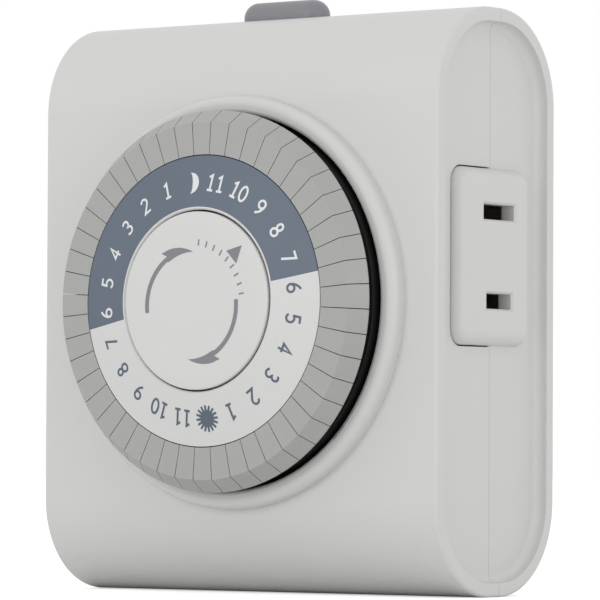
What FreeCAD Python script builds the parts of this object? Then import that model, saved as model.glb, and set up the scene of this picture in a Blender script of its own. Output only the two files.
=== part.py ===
import FreeCAD
import Part
import math
import os
import re
import Sketcher

V = FreeCAD.Vector

# Plug-in 24 hour timer switch. X to the right seen from the front, Y into the wall, Z up.
# The origin lies on the flat rear face, midway between the two plug blades.
# All sizes in millimetres. Depths count forward from the wall face.

SIZES = {
    # casing
    "case_width": 70.6, "case_height": 84.0, "front_depth": 15.7, "rear_depth": 14.3,
    "edge_round": 13.5, "case_wall": 2.0, "panel_recess": 1.8, "panel_wall": 1.8,
    "rim_soften": 0.5, "floor_soften": 1.2, "seam_soften": 0.25, "plug_rise": 6.4,
    # raised ring round the dial opening
    "dial_room": 0.5, "bezel_wide": 2.7, "bezel_rise": 2.5,
    "bezel_outer_soften": 1.5, "bezel_inner_soften": 0.7,
    # outlet block, on the rear casing
    "block_reach": 9.7, "block_back": 5.8, "block_half": 12.65, "block_corner": 2.3,
    "block_soften": 2.0, "block_gap": 0.2, "block_hollow": 1.2, "block_side": 2.2,
    "blade_spacing": 12.7, "outlet_slot_thick": 2.2, "neutral_slot_long": 7.9,
    "line_slot_long": 6.4, "slot_soften": 0.3, "outlet_mid_depth": 14.2,
    # plug blades
    "blade_thick": 1.5, "neutral_blade_wide": 7.9, "line_blade_wide": 6.35,
    "blade_out": 16.5, "blade_tail": 8.0, "blade_round": 1.2, "blade_hole": 1.6,
    "blade_hole_out": 11.7,
    # dial
    "teeth_dial": 90, "dial_module": 0.45, "dial_gear_front": 24.4, "dial_gear_thick": 2.0,
    "hub_radius": 5.5, "hub_back": 17.3, "shaft_play": 0.05, "spindle_radius": 3.0,
    "wheel_face": 36.7, "wheel_plate": 1.4, "wheel_plate_radius": 20.6,
    "skirt_inner": 18.0, "skirt_outer": 19.5,
    "rim_thick": 1.4, "rim_inset": 0.8, "rim_wall": 1.0, "rim_wall_long": 3.8, "rim_step": 0.6,
    "ring_thick": 1.2, "ring_lift": 1.3, "ring_inner": 13.0, "ring_outer": 20.8, "ring_soften": 0.2,
    "disc_radius": 12.75, "disc_front": 39.5, "disc_thick": 2.3, "disc_soften": 0.25,
    "disc_boss": 5.4, "disc_seat": 38.4,
    # trippers, two for each hour
    "tripper_inner": 20.95, "tripper_flat": 25.6, "tripper_outer": 27.4,
    "tripper_top": 37.9, "tripper_edge_top": 35.4, "tripper_edge": 0.2, "tripper_travel": 1.8,
    "tripper_stop": 0.1,
    "tripper_count": 48, "tripper_gap_angle": 0.28, "tripper_first_angle": 4.3,
    "stem_inner": 21.3, "stem_outer": 22.7, "stem_long": 4.2, "stem_angle": 5.0, "stem_play": 0.1,
    # mechanism plate, gears and motor
    "plate_front": 17.0, "plate_thick": 1.6, "plate_left": 25.6, "plate_side_room": 18.1,
    "plate_top": 18.8, "plate_bottom": 33.0,
    "clutch_angle": -60, "first_angle": 200, "motor_angle": 165,
    "train_module": 0.4, "teeth_wheel": 40, "teeth_pinion": 10, "teeth_clutch_pinion": 12,
    "arbor_radius": 0.75, "gear_hub": 1.3, "tooth_play": 0.14,
    "clutch_wheel_front": 21.2, "first_wheel_front": 18.8, "train_wheel_thick": 1.2,
    "motor_radius": 14.0, "motor_long": 10.6, "motor_wall": 0.6, "motor_ear_out": 16.8,
    "motor_ear_radius": 2.8, "motor_ear_thick": 0.8, "motor_ear_angle": -20, "motor_shaft": 1.0,
    "screw_shank": 1.1, "screw_head": 2.2, "screw_head_high": 1.2,
    "cross_deep": 0.7, "cross_half": 0.25, "cross_reach": 0.65,
    "post_radius": 2.6, "post_inset": 2.3, "plate_screw_grip": 6.0, "case_screw_grip": 8.0,
    "case_screw_shank": 1.4, "case_screw_head": 2.7, "case_boss": 3.4,
    "case_screw_inset": 5.8, "case_screw_z": 27.5, "case_screw_sink": 4.0,
    # switch
    "slide_wide": 3.0, "nose_thick": 0.5, "nose_room": 0.2, "nose_long": 3.0,
    "slide_low": 21.4, "slide_bar_high": 3.0, "slide_x": -1.65, "slide_back": 9.5,
    "arm_thick": 0.4, "arm_wide": 4.0, "arm_x": -8.0, "arm_face": 17.4, "arm_foot": 8.0,
    "arm_tip": 33.4, "contact_high": 27.0, "contact_radius": 1.5, "contact_rise": 0.8,
    "contact_gap": 1.4, "contact_arm_stock": 0.8,
    "clip_long": 12.0, "clip_stock": 0.5, "clip_mouth": 0.7, "clip_gap": 0.6, "fixed_drop": 6.8,
    "fixed_low": 17.0, "fixed_high": 19.5, "line_bar_step": 2.2,
    "lead_level": 2.2, "lead_radius": 0.55, "lead_bend": 0.9,
    # button on top
    "button_wide": 14.4, "button_deep": 5.2, "button_rise": 2.9, "button_x": -2.5,
    "button_play": 0.25, "button_soften": 2.3, "flange_extra": 1.0,
    "flange_thick": 1.0, "flange_drop": 0.6, "wedge_play": 0.1,
    "spring_radius": 1.7, "spring_wire": 0.4, "spring_turns": 6, "spring_x": 2.7,
    "shelf_top": 31.2, "shelf_thick": 1.2,
}

doc = FreeCAD.newDocument("PlugInTimer")
sheet = doc.addObject("Spreadsheet::Sheet", "Sizes")
for row, (name, value) in enumerate(SIZES.items(), start=1):
    sheet.set("A%d" % row, name)
    sheet.set("B%d" % row, str(value))
    sheet.setAlias("B%d" % row, name)
doc.recompute()

WORDS = re.compile(r"[a-z_]{3,}")
nodes = {}


def size(name):
    return float(getattr(sheet, name))


def formula(text):
    """Turn the names of sizes in a formula into references to the sheet."""
    return WORDS.sub(lambda m: "Sizes." + m.group(0) if m.group(0) in SIZES else m.group(0), str(text))


def bind(obj, prop, text):
    obj.setExpression(prop, formula(text))


def place(obj, x=0, y=0, z=0):
    bind(obj, "Placement.Base.x", x)
    bind(obj, "Placement.Base.y", y)
    bind(obj, "Placement.Base.z", z)


def keep(name, obj):
    """Name a finished sub-part: its label names its file."""
    obj.Label = name
    nodes[name] = obj
    return obj


# Sketches and features of the PartDesign bodies

def new_body(name):
    return doc.addObject("PartDesign::Body", name)


def plane_of(body, role):
    return next(f for f in body.Origin.OriginFeatures if f.Role == role)


def sketch_on(body, name, role, offset=0):
    """A sketch on one of the body's own origin planes, moved along the plane's normal."""
    sk = body.newObject("Sketcher::SketchObject", name)
    sk.AttachmentSupport = [(plane_of(body, role), "")]
    sk.MapMode = "FlatFace"
    sk.setExpression("AttachmentOffset.Base.z", formula(offset))
    return sk


def fix_point(sk, geo, pos, x, y):
    for kind, value in (("DistanceX", x), ("DistanceY", y)):
        index = sk.addConstraint(Sketcher.Constraint(kind, -1, 1, geo, pos, value_of(value)))
        sk.setExpression("Constraints[%d]" % index, formula(value))


def value_of(text):
    """The number that a formula gives, to draw a sketch near its final place."""
    expression = sheet.evalExpression(formula(text).replace("Sizes.", ""))
    return float(getattr(expression, "Value", expression))


def outline(sk, corners):
    """A closed outline of straight edges; each corner is fixed by two formulas."""
    spots = [V(value_of(x), value_of(y), 0) for x, y in corners]
    lines = [Part.LineSegment(spots[i], spots[(i + 1) % len(spots)]) for i in range(len(spots))]
    sk.addGeometry(lines, False)
    for i in range(len(spots)):
        sk.addConstraint(Sketcher.Constraint("Coincident", i, 2, (i + 1) % len(spots), 1))
    for i, (x, y) in enumerate(corners):
        fix_point(sk, i, 1, x, y)


def circle(sk, x, y, radius):
    geo = sk.addGeometry(Part.Circle(V(value_of(x), value_of(y), 0), V(0, 0, 1), value_of(radius)), False)
    fix_point(sk, geo, 3, x, y)
    index = sk.addConstraint(Sketcher.Constraint("Radius", geo, value_of(radius)))
    sk.setExpression("Constraints[%d]" % index, formula(radius))


def feature(body, kind, name, sk, **bound):
    made = body.newObject("PartDesign::" + kind, name)
    made.Profile = sk
    for prop, text in bound.items():
        bind(made, prop, text)
    return made


def pad(body, name, sk, length, both=False, back=False):
    made = feature(body, "Pad", name, sk, Length=length)
    made.Midplane = both
    made.Reversed = back
    return made


def pocket(body, name, sk, length, both=False, back=False):
    made = feature(body, "Pocket", name, sk, Length=length)
    made.Midplane = both
    made.Reversed = back
    return made


def turned(body, name, sk, axis="V_Axis"):
    made = feature(body, "Revolution", name, sk)
    made.ReferenceAxis = (sk, [axis])
    made.Angle = 360
    return made


def edges_where(obj, test):
    found = []
    for i, edge in enumerate(obj.Shape.Edges, start=1):
        if test(edge.BoundBox, edge):
            found.append("Edge%d" % i)
    return found


def soften(body, kind, name, base, edges, text):
    made = body.newObject("PartDesign::" + kind, name)
    made.Base = (base, edges)
    bind(made, "Radius" if kind == "Fillet" else "Size", text)
    doc.recompute()
    return made


# Parts of plain boxes and cylinders

def box(x0, x1, y0, y1, z0, z1):
    made = doc.addObject("Part::Box", "Block")
    bind(made, "Length", "(%s) - (%s)" % (x1, x0))
    bind(made, "Width", "(%s) - (%s)" % (y1, y0))
    bind(made, "Height", "(%s) - (%s)" % (z1, z0))
    place(made, x0, y0, z0)
    return made


def rod(radius, x, y_back, z, y_front):
    """A cylinder along Y between two depths, y_front being the one nearer the viewer."""
    made = doc.addObject("Part::Cylinder", "Rod")
    bind(made, "Radius", radius)
    bind(made, "Height", "(%s) - (%s)" % (y_back, y_front))
    made.Placement = FreeCAD.Placement(V(0, 0, 0), FreeCAD.Rotation(V(1, 0, 0), -90))
    place(made, x, y_front, z)
    return made


def joined(name, shapes):
    made = doc.addObject("Part::MultiFuse", name)
    made.Shapes = shapes
    return made


def cut(name, base, tool):
    made = doc.addObject("Part::Cut", name)
    made.Base = base
    made.Tool = tool
    return made


def grouped(name, shapes):
    made = doc.addObject("Part::Compound", name)
    made.Links = shapes
    return made


# Places that several pieces share

DIAL_Z = "-plug_rise"
CASE_TOP = "(case_height / 2 - plug_rise)"
CASE_BOTTOM = "(-case_height / 2 - plug_rise)"
CASE_DEPTH = "(front_depth + rear_depth)"
TRAIN_STEP = "(train_module * (teeth_wheel + teeth_pinion) / 2)"
CLUTCH_STEP = "(dial_module * (teeth_dial + teeth_clutch_pinion) / 2)"
CLUTCH = ("(%s * cos(clutch_angle))" % CLUTCH_STEP, "(%s * sin(clutch_angle) - plug_rise)" % CLUTCH_STEP)
FIRST = ("(%s + %s * cos(first_angle))" % (CLUTCH[0], TRAIN_STEP),
         "(%s + %s * sin(first_angle))" % (CLUTCH[1], TRAIN_STEP))
MOTOR = ("(%s + %s * cos(motor_angle))" % (FIRST[0], TRAIN_STEP),
         "(%s + %s * sin(motor_angle))" % (FIRST[1], TRAIN_STEP))
PLATE_BACK = "(plate_front - plate_thick)"
PLATE_RIGHT = "(case_width / 2 - plate_side_room)"
POSTS = [("-plate_left + post_radius + 0.5", "plate_top - 4.8 - plug_rise"),
         (PLATE_RIGHT + " - post_inset", "plate_top - 2.2 - plug_rise"),
         ("-plate_left + post_radius + 0.5", "-plate_bottom + 3 - plug_rise"),
         (PLATE_RIGHT + " - post_inset", "-plate_bottom + 2 - plug_rise")]
CASE_SCREWS = [(sx + "(case_width / 2 - case_screw_inset)", sz + "case_screw_z - plug_rise")
               for sx in ("-", "") for sz in ("-", "")]
TRIPPER_UNDER = "(tripper_edge_top - tripper_edge)"
RIM_FRONT = "(%s - tripper_travel - tripper_stop)" % TRIPPER_UNDER
STEM_END = "(%s - stem_long)" % TRIPPER_UNDER
NOSE_TIP = "(%s - nose_room)" % STEM_END
RIM_OUTER = "(tripper_outer - rim_inset)"
BEZEL_INNER = "(%s + dial_room)" % RIM_OUTER
BEZEL_OUTER = "(%s + bezel_wide)" % BEZEL_INNER


# Casing

def shell_profile(sk, flat, sign, back, inset, rounding):
    """Half of the casing seen from the side: a flat face with a quarter round at each end."""
    top = "(%s - %s)" % (CASE_TOP, inset)
    bottom = "(%s + %s)" % (CASE_BOTTOM, inset)
    mid = "(%s %s %s)" % (flat, sign, rounding)
    flat_y, mid_y, r = value_of(flat), value_of(mid), value_of(rounding)
    top_z, bottom_z, back_y = value_of(top), value_of(bottom), value_of(back)
    turn = 90 if sign == "+" else 0
    ends = [V(back_y, top_z, 0), V(mid_y, top_z, 0), V(flat_y, top_z - r, 0),
            V(flat_y, bottom_z + r, 0), V(mid_y, bottom_z, 0), V(back_y, bottom_z, 0)]

    def arc(z, start):
        ring = Part.Circle(V(mid_y, z, 0), V(0, 0, 1), r)
        return Part.ArcOfCircle(ring, math.radians(start), math.radians(start + 90))

    sk.addGeometry([Part.LineSegment(ends[0], ends[1]), arc(top_z - r, turn),
                    Part.LineSegment(ends[2], ends[3]),
                    arc(bottom_z + r, 180 if sign == "+" else 270),
                    Part.LineSegment(ends[4], ends[5]), Part.LineSegment(ends[5], ends[0])], False)
    first, last = (1, 2) if sign == "+" else (2, 1)
    for a, pa, b, pb in ((0, 2, 1, first), (1, last, 2, 1), (2, 2, 3, first), (3, last, 4, 1),
                         (4, 2, 5, 1), (5, 2, 0, 1)):
        sk.addConstraint(Sketcher.Constraint("Coincident", a, pa, b, pb))
    for geo, pos, y, z in ((0, 1, back, top), (0, 2, mid, top), (2, 1, flat, "%s - %s" % (top, rounding)),
                           (2, 2, flat, "%s + %s" % (bottom, rounding)), (4, 1, mid, bottom),
                           (4, 2, back, bottom)):
        fix_point(sk, geo, pos, y, z)
    for geo in (1, 3):
        index = sk.addConstraint(Sketcher.Constraint("Radius", geo, r))
        sk.setExpression("Constraints[%d]" % index, formula(rounding))


def half_casing(name, flat, sign):
    """One casing half: outer form, hollow, and the side panels sunk inside a rim."""
    body = new_body(name)
    outer = sketch_on(body, name + "_outer", "YZ_Plane")
    shell_profile(outer, flat, sign, "-rear_depth", "0", "edge_round")
    form = pad(body, name + "_form", outer, "case_width", both=True)
    doc.recompute()
    rim = edges_where(form, lambda b, e: b.XLength < 1e-6 and abs(abs(b.XMin) - size("case_width") / 2) < 1e-3
                      and b.YLength + b.ZLength > 1
                      and not (b.YLength < 1e-6 and abs(b.YMin + size("rear_depth")) < 1e-3))
    soften(body, "Fillet", name + "_rim_round", form, rim, "rim_soften")
    inner_face = "(%s %s case_wall)" % (flat, sign)
    hollow = sketch_on(body, name + "_inner", "YZ_Plane")
    shell_profile(hollow, inner_face, sign, "-rear_depth", "case_wall", "(edge_round - case_wall)")
    pocket(body, name + "_hollow", hollow, "case_width - 2 * (panel_recess + panel_wall)", both=True)
    for side, offset, back in (("right", "case_width / 2", False), ("left", "-case_width / 2", True)):
        sunk = sketch_on(body, "%s_%s_panel" % (name, side), "YZ_Plane", offset)
        shell_profile(sunk, inner_face, sign, "-rear_depth", "case_wall", "(edge_round - case_wall)")
        recess = pocket(body, "%s_%s_recess" % (name, side), sunk, "panel_recess", back=back)
    doc.recompute()
    panel_x = size("case_width") / 2 - size("panel_recess")
    floor = edges_where(recess, lambda b, e: b.XLength < 1e-6 and abs(abs(b.XMin) - panel_x) < 1e-3
                        and not (b.YLength < 1e-6 and abs(b.YMin + size("rear_depth")) < 1e-3))
    last = soften(body, "Fillet", name + "_floor_round", recess, floor, "floor_soften")
    if sign == "-":
        seam = edges_where(last, lambda b, e: b.YLength < 1e-4 and abs(b.YMin + size("rear_depth")) < 1e-3
                           and (abs(b.XLength) > 60 and abs(abs(b.ZMin + size("plug_rise"))
                                                            - size("case_height") / 2) < 1e-3
                                or b.ZLength > 60 and abs(abs(b.XMin) - panel_x) < 1e-3))
        soften(body, "Chamfer", name + "_seam", last, seam, "seam_soften")
    return body


def block_outline(sk, play):
    """The outlet block seen from the side; play widens it."""
    front = "(-rear_depth - block_reach - %s)" % play
    back = "(-block_back + %s)" % play
    half = "(block_half + %s)" % play
    outline(sk, [(back, half), (front, half), (front, "-" + half), (back, "-" + half)])


def block_corners(body, name, base, play):
    """Round the block's corners, or the notch's, seen from the side."""
    doc.recompute()
    half = value_of("block_half + %s" % play)
    corners = edges_where(base, lambda b, e: b.XLength > 1 and b.YLength < 1e-4 and b.ZLength < 1e-4
                          and b.XMin > 0 and abs(abs(b.ZMin) - half) < 1e-3
                          and abs(b.YMin + size("rear_depth")) > 1)
    return soften(body, "Fillet", name, base, corners, "block_corner + %s" % play)


def bosses(body, name, spots, radius, bore, low, high, bore_low, bore_high):
    """Round posts along Y with a bore in each, between depths counted forward from the wall."""
    made = sketch_on(body, name + "_posts", "XZ_Plane", low)
    for x, z in spots:
        circle(made, x, z, radius)
    pad(body, name, made, "%s - %s" % (high, low))
    holes = sketch_on(body, name + "_holes", "XZ_Plane", bore_low)
    for x, z in spots:
        circle(holes, x, z, bore)
    return pocket(body, name + "_bores", holes, "%s - %s" % (bore_high, bore_low), back=True)


def front_shell():
    body = half_casing("front_shell", "-" + CASE_DEPTH, "+")
    ring = sketch_on(body, "bezel_outline", "XZ_Plane", CASE_DEPTH + " - case_wall / 2")
    circle(ring, "0", DIAL_Z, BEZEL_OUTER)
    pad(body, "bezel", ring, "bezel_rise + case_wall / 2")
    opening = sketch_on(body, "dial_opening_outline", "XZ_Plane", CASE_DEPTH + " + bezel_rise")
    circle(opening, "0", DIAL_Z, BEZEL_INNER)
    pocket(body, "dial_opening", opening, "bezel_rise + 2 * case_wall")
    bosses(body, "front_bosses", CASE_SCREWS, "case_boss", "case_screw_shank",
           "rear_depth", CASE_DEPTH + " - case_wall", "rear_depth", CASE_DEPTH + " - 2 * case_wall")
    notch = sketch_on(body, "block_notch_outline", "YZ_Plane", "case_width / 2")
    block_outline(notch, "block_gap")
    cutout = pocket(body, "block_notch", notch, "panel_recess + panel_wall + case_wall")
    block_corners(body, "block_notch_corners", cutout, "block_gap")
    last = button_slot(body, "front")
    doc.recompute()
    lip_y = -(size("front_depth") + size("rear_depth") + size("bezel_rise"))

    def on_lip(radius):
        return lambda b, e: (b.YLength < 1e-4 and abs(b.YMin - lip_y) < 1e-3
                             and abs(b.XLength / 2 - value_of(radius)) < 0.1)
    last = soften(body, "Fillet", "bezel_outer_round", last, edges_where(last, on_lip(BEZEL_OUTER)),
                  "bezel_outer_soften")
    soften(body, "Fillet", "bezel_inner_round", last, edges_where(last, on_lip(BEZEL_INNER)),
           "bezel_inner_soften")
    return keep("front_shell", body)


def button_slot(body, half):
    """The slot in the crest of the casing that the button rises through, half in each shell."""
    slot = sketch_on(body, half + "_button_slot_outline", "XY_Plane", CASE_TOP + " - 2 * case_wall")
    x0 = "(button_x - button_wide / 2 - button_play)"
    x1 = "(button_x + button_wide / 2 + button_play)"
    reach = "(button_deep / 2 + button_play)"
    y0 = "(-rear_depth - %s)" % reach if half == "front" else "-rear_depth"
    y1 = "-rear_depth" if half == "front" else "(-rear_depth + %s)" % reach
    outline(slot, [(x0, y0), (x1, y0), (x1, y1), (x0, y1)])
    cutout = pocket(body, half + "_button_slot", slot, "3 * case_wall", back=True)
    doc.recompute()
    end = value_of("rear_depth + button_deep / 2 + button_play" if half == "front"
                   else "rear_depth - button_deep / 2 - button_play")
    reach_x = value_of("button_wide / 2 + button_play")
    crest = value_of(CASE_TOP + " - 3 * case_wall")
    ends = edges_where(cutout, lambda b, e: b.ZLength > 1 and b.XLength < 1e-4 and b.YLength < 1e-4
                       and abs(b.YMin + end) < 1e-3 and b.ZMin > crest
                       and abs(abs(b.XMin - size("button_x")) - reach_x) < 1e-3)
    return soften(body, "Fillet", half + "_button_slot_ends", cutout, ends,
                  "button_deep / 2 + button_play - 0.1")


def rear_shell():
    body = half_casing("rear_shell", "0", "-")
    block = sketch_on(body, "outlet_block_outline", "YZ_Plane", "case_width / 2 - panel_recess - panel_wall")
    block_outline(block, "0")
    lump = pad(body, "outlet_block", block, "panel_recess + panel_wall")
    lump = block_corners(body, "outlet_block_corners", lump, "0")
    face_x = size("case_width") / 2
    half = size("block_half")
    rim = edges_where(lump, lambda b, e: b.XLength < 1e-6 and abs(b.XMin - face_x) < 1e-3
                      and abs(b.ZMin) <= half + 1e-3 and abs(b.ZMax) <= half + 1e-3)
    lump = soften(body, "Fillet", "outlet_block_round", lump, rim, "block_soften")
    hollow = sketch_on(body, "block_hollow_outline", "YZ_Plane", "case_width / 2 - panel_recess - panel_wall")
    block_outline(hollow, "(-block_side)")
    pocket(body, "block_hollow", hollow, "block_hollow", back=True)
    slots = sketch_on(body, "outlet_slots_outline", "YZ_Plane", "case_width / 2")
    for z, long in (("blade_spacing / 2", "neutral_slot_long"), ("-blade_spacing / 2", "line_slot_long")):
        y0 = "(-outlet_mid_depth - %s / 2)" % long
        y1 = "(-outlet_mid_depth + %s / 2)" % long
        z0 = "(%s - outlet_slot_thick / 2)" % z
        z1 = "(%s + outlet_slot_thick / 2)" % z
        add_rectangle(slots, y0, y1, z0, z1)
    last = pocket(body, "outlet_slots", slots, "panel_recess + 2 * panel_wall")
    doc.recompute()
    mouths = edges_where(last, lambda b, e: b.XLength < 1e-6 and abs(b.XMin - face_x) < 1e-3
                         and b.YLength + b.ZLength < 9 and abs(b.YMin + size("outlet_mid_depth")) < 4.5
                         and abs(abs(b.ZMin + b.ZMax) / 2 - size("blade_spacing") / 2) < 1.2)
    last = soften(body, "Chamfer", "slot_mouths", last, mouths, "slot_soften")
    bosses(body, "rear_bosses", CASE_SCREWS, "case_boss", "case_screw_shank + block_gap",
           "case_wall / 2", "rear_depth", "0", "rear_depth")
    sinks = sketch_on(body, "screw_sinks_outline", "XZ_Plane", "0")
    for x, z in CASE_SCREWS:
        circle(sinks, x, z, "case_screw_head + block_gap")
    pocket(body, "screw_sinks", sinks, "case_screw_sink", back=True)
    bosses(body, "plate_posts", POSTS, "post_radius", "screw_shank",
           "case_wall / 2", PLATE_BACK, "case_wall", PLATE_BACK)
    blades = sketch_on(body, "blade_slots_outline", "XZ_Plane", "0")
    for x, wide in (("-blade_spacing / 2", "neutral_blade_wide"), ("blade_spacing / 2", "line_blade_wide")):
        add_rectangle(blades, "(%s - blade_thick / 2)" % x, "(%s + blade_thick / 2)" % x,
                      "(-%s / 2)" % wide, "(%s / 2)" % wide)
    pocket(body, "blade_slots", blades, "2 * case_wall", back=True)
    shelf = sketch_on(body, "spring_shelf_outline", "XZ_Plane", "case_wall / 2")
    add_rectangle(shelf, "(spring_x - spring_radius - 1)", "(spring_x + spring_radius + 1)",
                  "(shelf_top - shelf_thick - plug_rise)", "(shelf_top - plug_rise)")
    pad(body, "spring_shelf", shelf, "rear_depth - case_wall / 2")
    button_slot(body, "rear")
    return keep("rear_shell", body)


def add_rectangle(sk, x0, x1, y0, y1):
    """A rectangle in a sketch that may hold others already."""
    start = sk.GeometryCount
    corners = [(x0, y0), (x1, y0), (x1, y1), (x0, y1)]
    spots = [V(value_of(x), value_of(y), 0) for x, y in corners]
    sk.addGeometry([Part.LineSegment(spots[i], spots[(i + 1) % 4]) for i in range(4)], False)
    for i in range(4):
        sk.addConstraint(Sketcher.Constraint("Coincident", start + i, 2, start + (i + 1) % 4, 1))
    for i, (x, y) in enumerate(corners):
        fix_point(sk, start + i, 1, x, y)


# Dial

def spun(name, profile, soft=None):
    """A body turned about the dial's axis; profile lists radius and depth from the wall."""
    body = new_body(name)
    sk = sketch_on(body, name + "_profile", "XY_Plane", DIAL_Z)
    outline(sk, [(r, "-(%s)" % y) for r, y in profile])
    base = turned(body, name + "_turned", sk)
    if soft:
        radius, depth, amount = soft
        doc.recompute()
        edge = edges_where(base, lambda b, e: b.YLength < 1e-4 and abs(b.YMin + size(depth)) < 1e-3
                           and abs(b.XLength / 2 - size(radius)) < 0.05)
        soften(body, "Fillet", name + "_edge", base, edge, amount)
    return body


def gear_ring(name, module, teeth, bore, front, thick, x, z, phase):
    """A toothed ring: straight flanks at 20 degrees, short teeth that leave a little play."""
    m, count = value_of(module), int(round(value_of(teeth)))
    pitch = m * count / 2
    root, tip = pitch - 0.95 * m, pitch + 0.7 * m
    half = (math.pi * m - size("tooth_play")) / 4
    lean = math.tan(math.radians(20))
    points = []
    for k in range(count):
        centre = math.radians(value_of(phase)) + 2 * math.pi * k / count
        for radius, side in ((root, -1), (tip, -1), (tip, 1), (root, 1)):
            angle = centre + side * (half - (radius - pitch) * lean) / radius
            points.append(V(radius * math.cos(angle), -value_of(front), radius * math.sin(angle)))
    face = Part.makeFace([Part.makePolygon(points + points[:1]),
                          Part.Wire(Part.makeCircle(value_of(bore), V(0, -value_of(front), 0), V(0, 1, 0)))],
                         "Part::FaceMakerBullseye")
    made = doc.addObject("Part::Feature", name)
    made.Shape = face.extrude(V(0, value_of(thick), 0))
    place(made, x, 0, z)
    return made


def dial_wheel():
    body = spun("dial_wheel_core", [
        ("spindle_radius + shaft_play", "hub_back"), ("hub_radius", "hub_back"),
        ("hub_radius", "wheel_face - wheel_plate"), ("skirt_inner", "wheel_face - wheel_plate"),
        ("skirt_inner", "dial_gear_front - dial_gear_thick"),
        ("skirt_outer", "dial_gear_front - dial_gear_thick"), ("skirt_outer", RIM_FRONT + " - rim_thick"),
        (RIM_OUTER + " - rim_wall", RIM_FRONT + " - rim_thick"),
        (RIM_OUTER + " - rim_wall", RIM_FRONT + " - rim_wall_long"),
        (RIM_OUTER, RIM_FRONT + " - rim_wall_long"), (RIM_OUTER, RIM_FRONT),
        ("wheel_plate_radius - rim_step", RIM_FRONT),
        ("wheel_plate_radius - rim_step", "wheel_face - wheel_plate"),
        ("wheel_plate_radius", "wheel_face - wheel_plate"), ("wheel_plate_radius", "wheel_face"),
        ("spindle_radius + shaft_play", "wheel_face")])
    slot = sector_bar("stem_slot", "stem_inner - stem_play", "stem_outer + stem_play",
                      RIM_FRONT + " + stem_play", RIM_FRONT + " - rim_thick - stem_play",
                      "stem_angle + 2 * stem_play / stem_inner * 180 / pi",
                      "tripper_first_angle + 180 / tripper_count")
    slots = doc.addObject("Part::Feature", "StemSlots")
    doc.recompute()
    centre = V(0, 0, value_of(DIAL_Z))
    count = int(size("tripper_count"))
    slots.Shape = Part.makeCompound([slot.Shape.copy().rotated(centre, V(0, 1, 0), 360 / count * k)
                                     for k in range(count)])
    teeth = gear_ring("DialTeeth", "dial_module", "teeth_dial", "skirt_inner", "dial_gear_front",
                      "dial_gear_thick", "0", DIAL_Z, "0")
    toothed = joined("DialWheelToothed", [body, teeth])
    return keep("dial_wheel", cut("DialWheel", toothed, slots))


def sector_bar(name, r_in, r_out, front, back, angle, middle):
    """A short bar bent round the dial's axis, turned to stand at an angle."""
    body = new_body(name)
    sk = sketch_on(body, name + "_section", "XY_Plane", DIAL_Z)
    outline(sk, [(r_in, "-(%s)" % front), (r_out, "-(%s)" % front), (r_out, "-(%s)" % back),
                 (r_in, "-(%s)" % back)])
    made = turned(body, name + "_bent", sk)
    made.Midplane = True
    bind(made, "Angle", angle)
    turn_to(body, middle)
    return body


def turn_to(obj, angle):
    """Turn an object that stands on the dial's +X side to an angle, counted towards +Z."""
    centre = V(0, 0, value_of(DIAL_Z))
    obj.Placement = FreeCAD.Placement(V(), FreeCAD.Rotation(V(0, 1, 0), -value_of(angle)), centre)


def trippers():
    """Two trippers share a node: the two half hours of one hour."""
    body = new_body("tripper_form")
    head = sketch_on(body, "tripper_head_section", "XY_Plane", DIAL_Z)
    outline(head, [("tripper_inner", "-tripper_top"), ("tripper_flat", "-tripper_top"),
                   ("tripper_outer", "-tripper_edge_top"), ("tripper_outer", "-" + TRIPPER_UNDER),
                   ("tripper_inner", "-" + TRIPPER_UNDER)])
    made = turned(body, "tripper_head", head)
    made.Midplane = True
    bind(made, "Angle", "360 / tripper_count - tripper_gap_angle")
    stem = sketch_on(body, "tripper_stem_section", "XY_Plane", DIAL_Z)
    root = "-(%s + tripper_edge)" % TRIPPER_UNDER
    outline(stem, [("stem_inner", root), ("stem_outer", root),
                   ("stem_outer", "-" + STEM_END), ("stem_inner", "-" + STEM_END)])
    made = turned(body, "tripper_stem", stem)
    made.Midplane = True
    bind(made, "Angle", "stem_angle")
    doc.recompute()
    centre = V(0, 0, value_of(DIAL_Z))
    step = 360 / size("tripper_count")
    for hour in range(int(size("tripper_count")) // 2):
        pair = doc.addObject("Part::Feature", "Trippers")
        turns = [size("tripper_first_angle") + step * (2 * hour + k + 0.5) for k in range(2)]
        pair.Shape = Part.makeCompound([body.Shape.copy().rotated(centre, V(0, 1, 0), -turn)
                                        for turn in turns])
        keep("trippers_hour_%02d" % (hour + 1), pair)


def dial_and_disc():
    dial_wheel()
    keep("number_ring", spun("number_ring", [
        ("ring_inner", "wheel_face"), ("ring_outer", "wheel_face"),
        ("ring_outer", "wheel_face + ring_thick"),
        ("ring_inner + ring_soften", "wheel_face + ring_thick + ring_lift"),
        ("ring_inner", "wheel_face + ring_thick + ring_lift - ring_soften")]))
    keep("centre_disc", spun("centre_disc", [
        ("0", "disc_front"), ("disc_radius", "disc_front"), ("disc_radius", "disc_front - disc_thick"),
        ("disc_radius - 1.2", "disc_front - disc_thick"), ("disc_radius - 1.2", "disc_front - 1.2"),
        ("disc_boss", "disc_front - 1.2"), ("disc_boss", "disc_front - disc_thick"),
        ("spindle_radius", "disc_front - disc_thick"), ("spindle_radius", "disc_seat"),
        ("0", "disc_seat")], soft=("disc_radius", "disc_front", "disc_soften")))
    keep("dial_spindle", spun("dial_spindle", [
        ("0", PLATE_BACK + " - 0.8"), ("spindle_radius + 1.5", PLATE_BACK + " - 0.8"),
        ("spindle_radius + 1.5", PLATE_BACK), ("spindle_radius", PLATE_BACK),
        ("spindle_radius", "disc_seat"), ("0", "disc_seat")]))


# Mechanism plate, gears and motor

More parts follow.
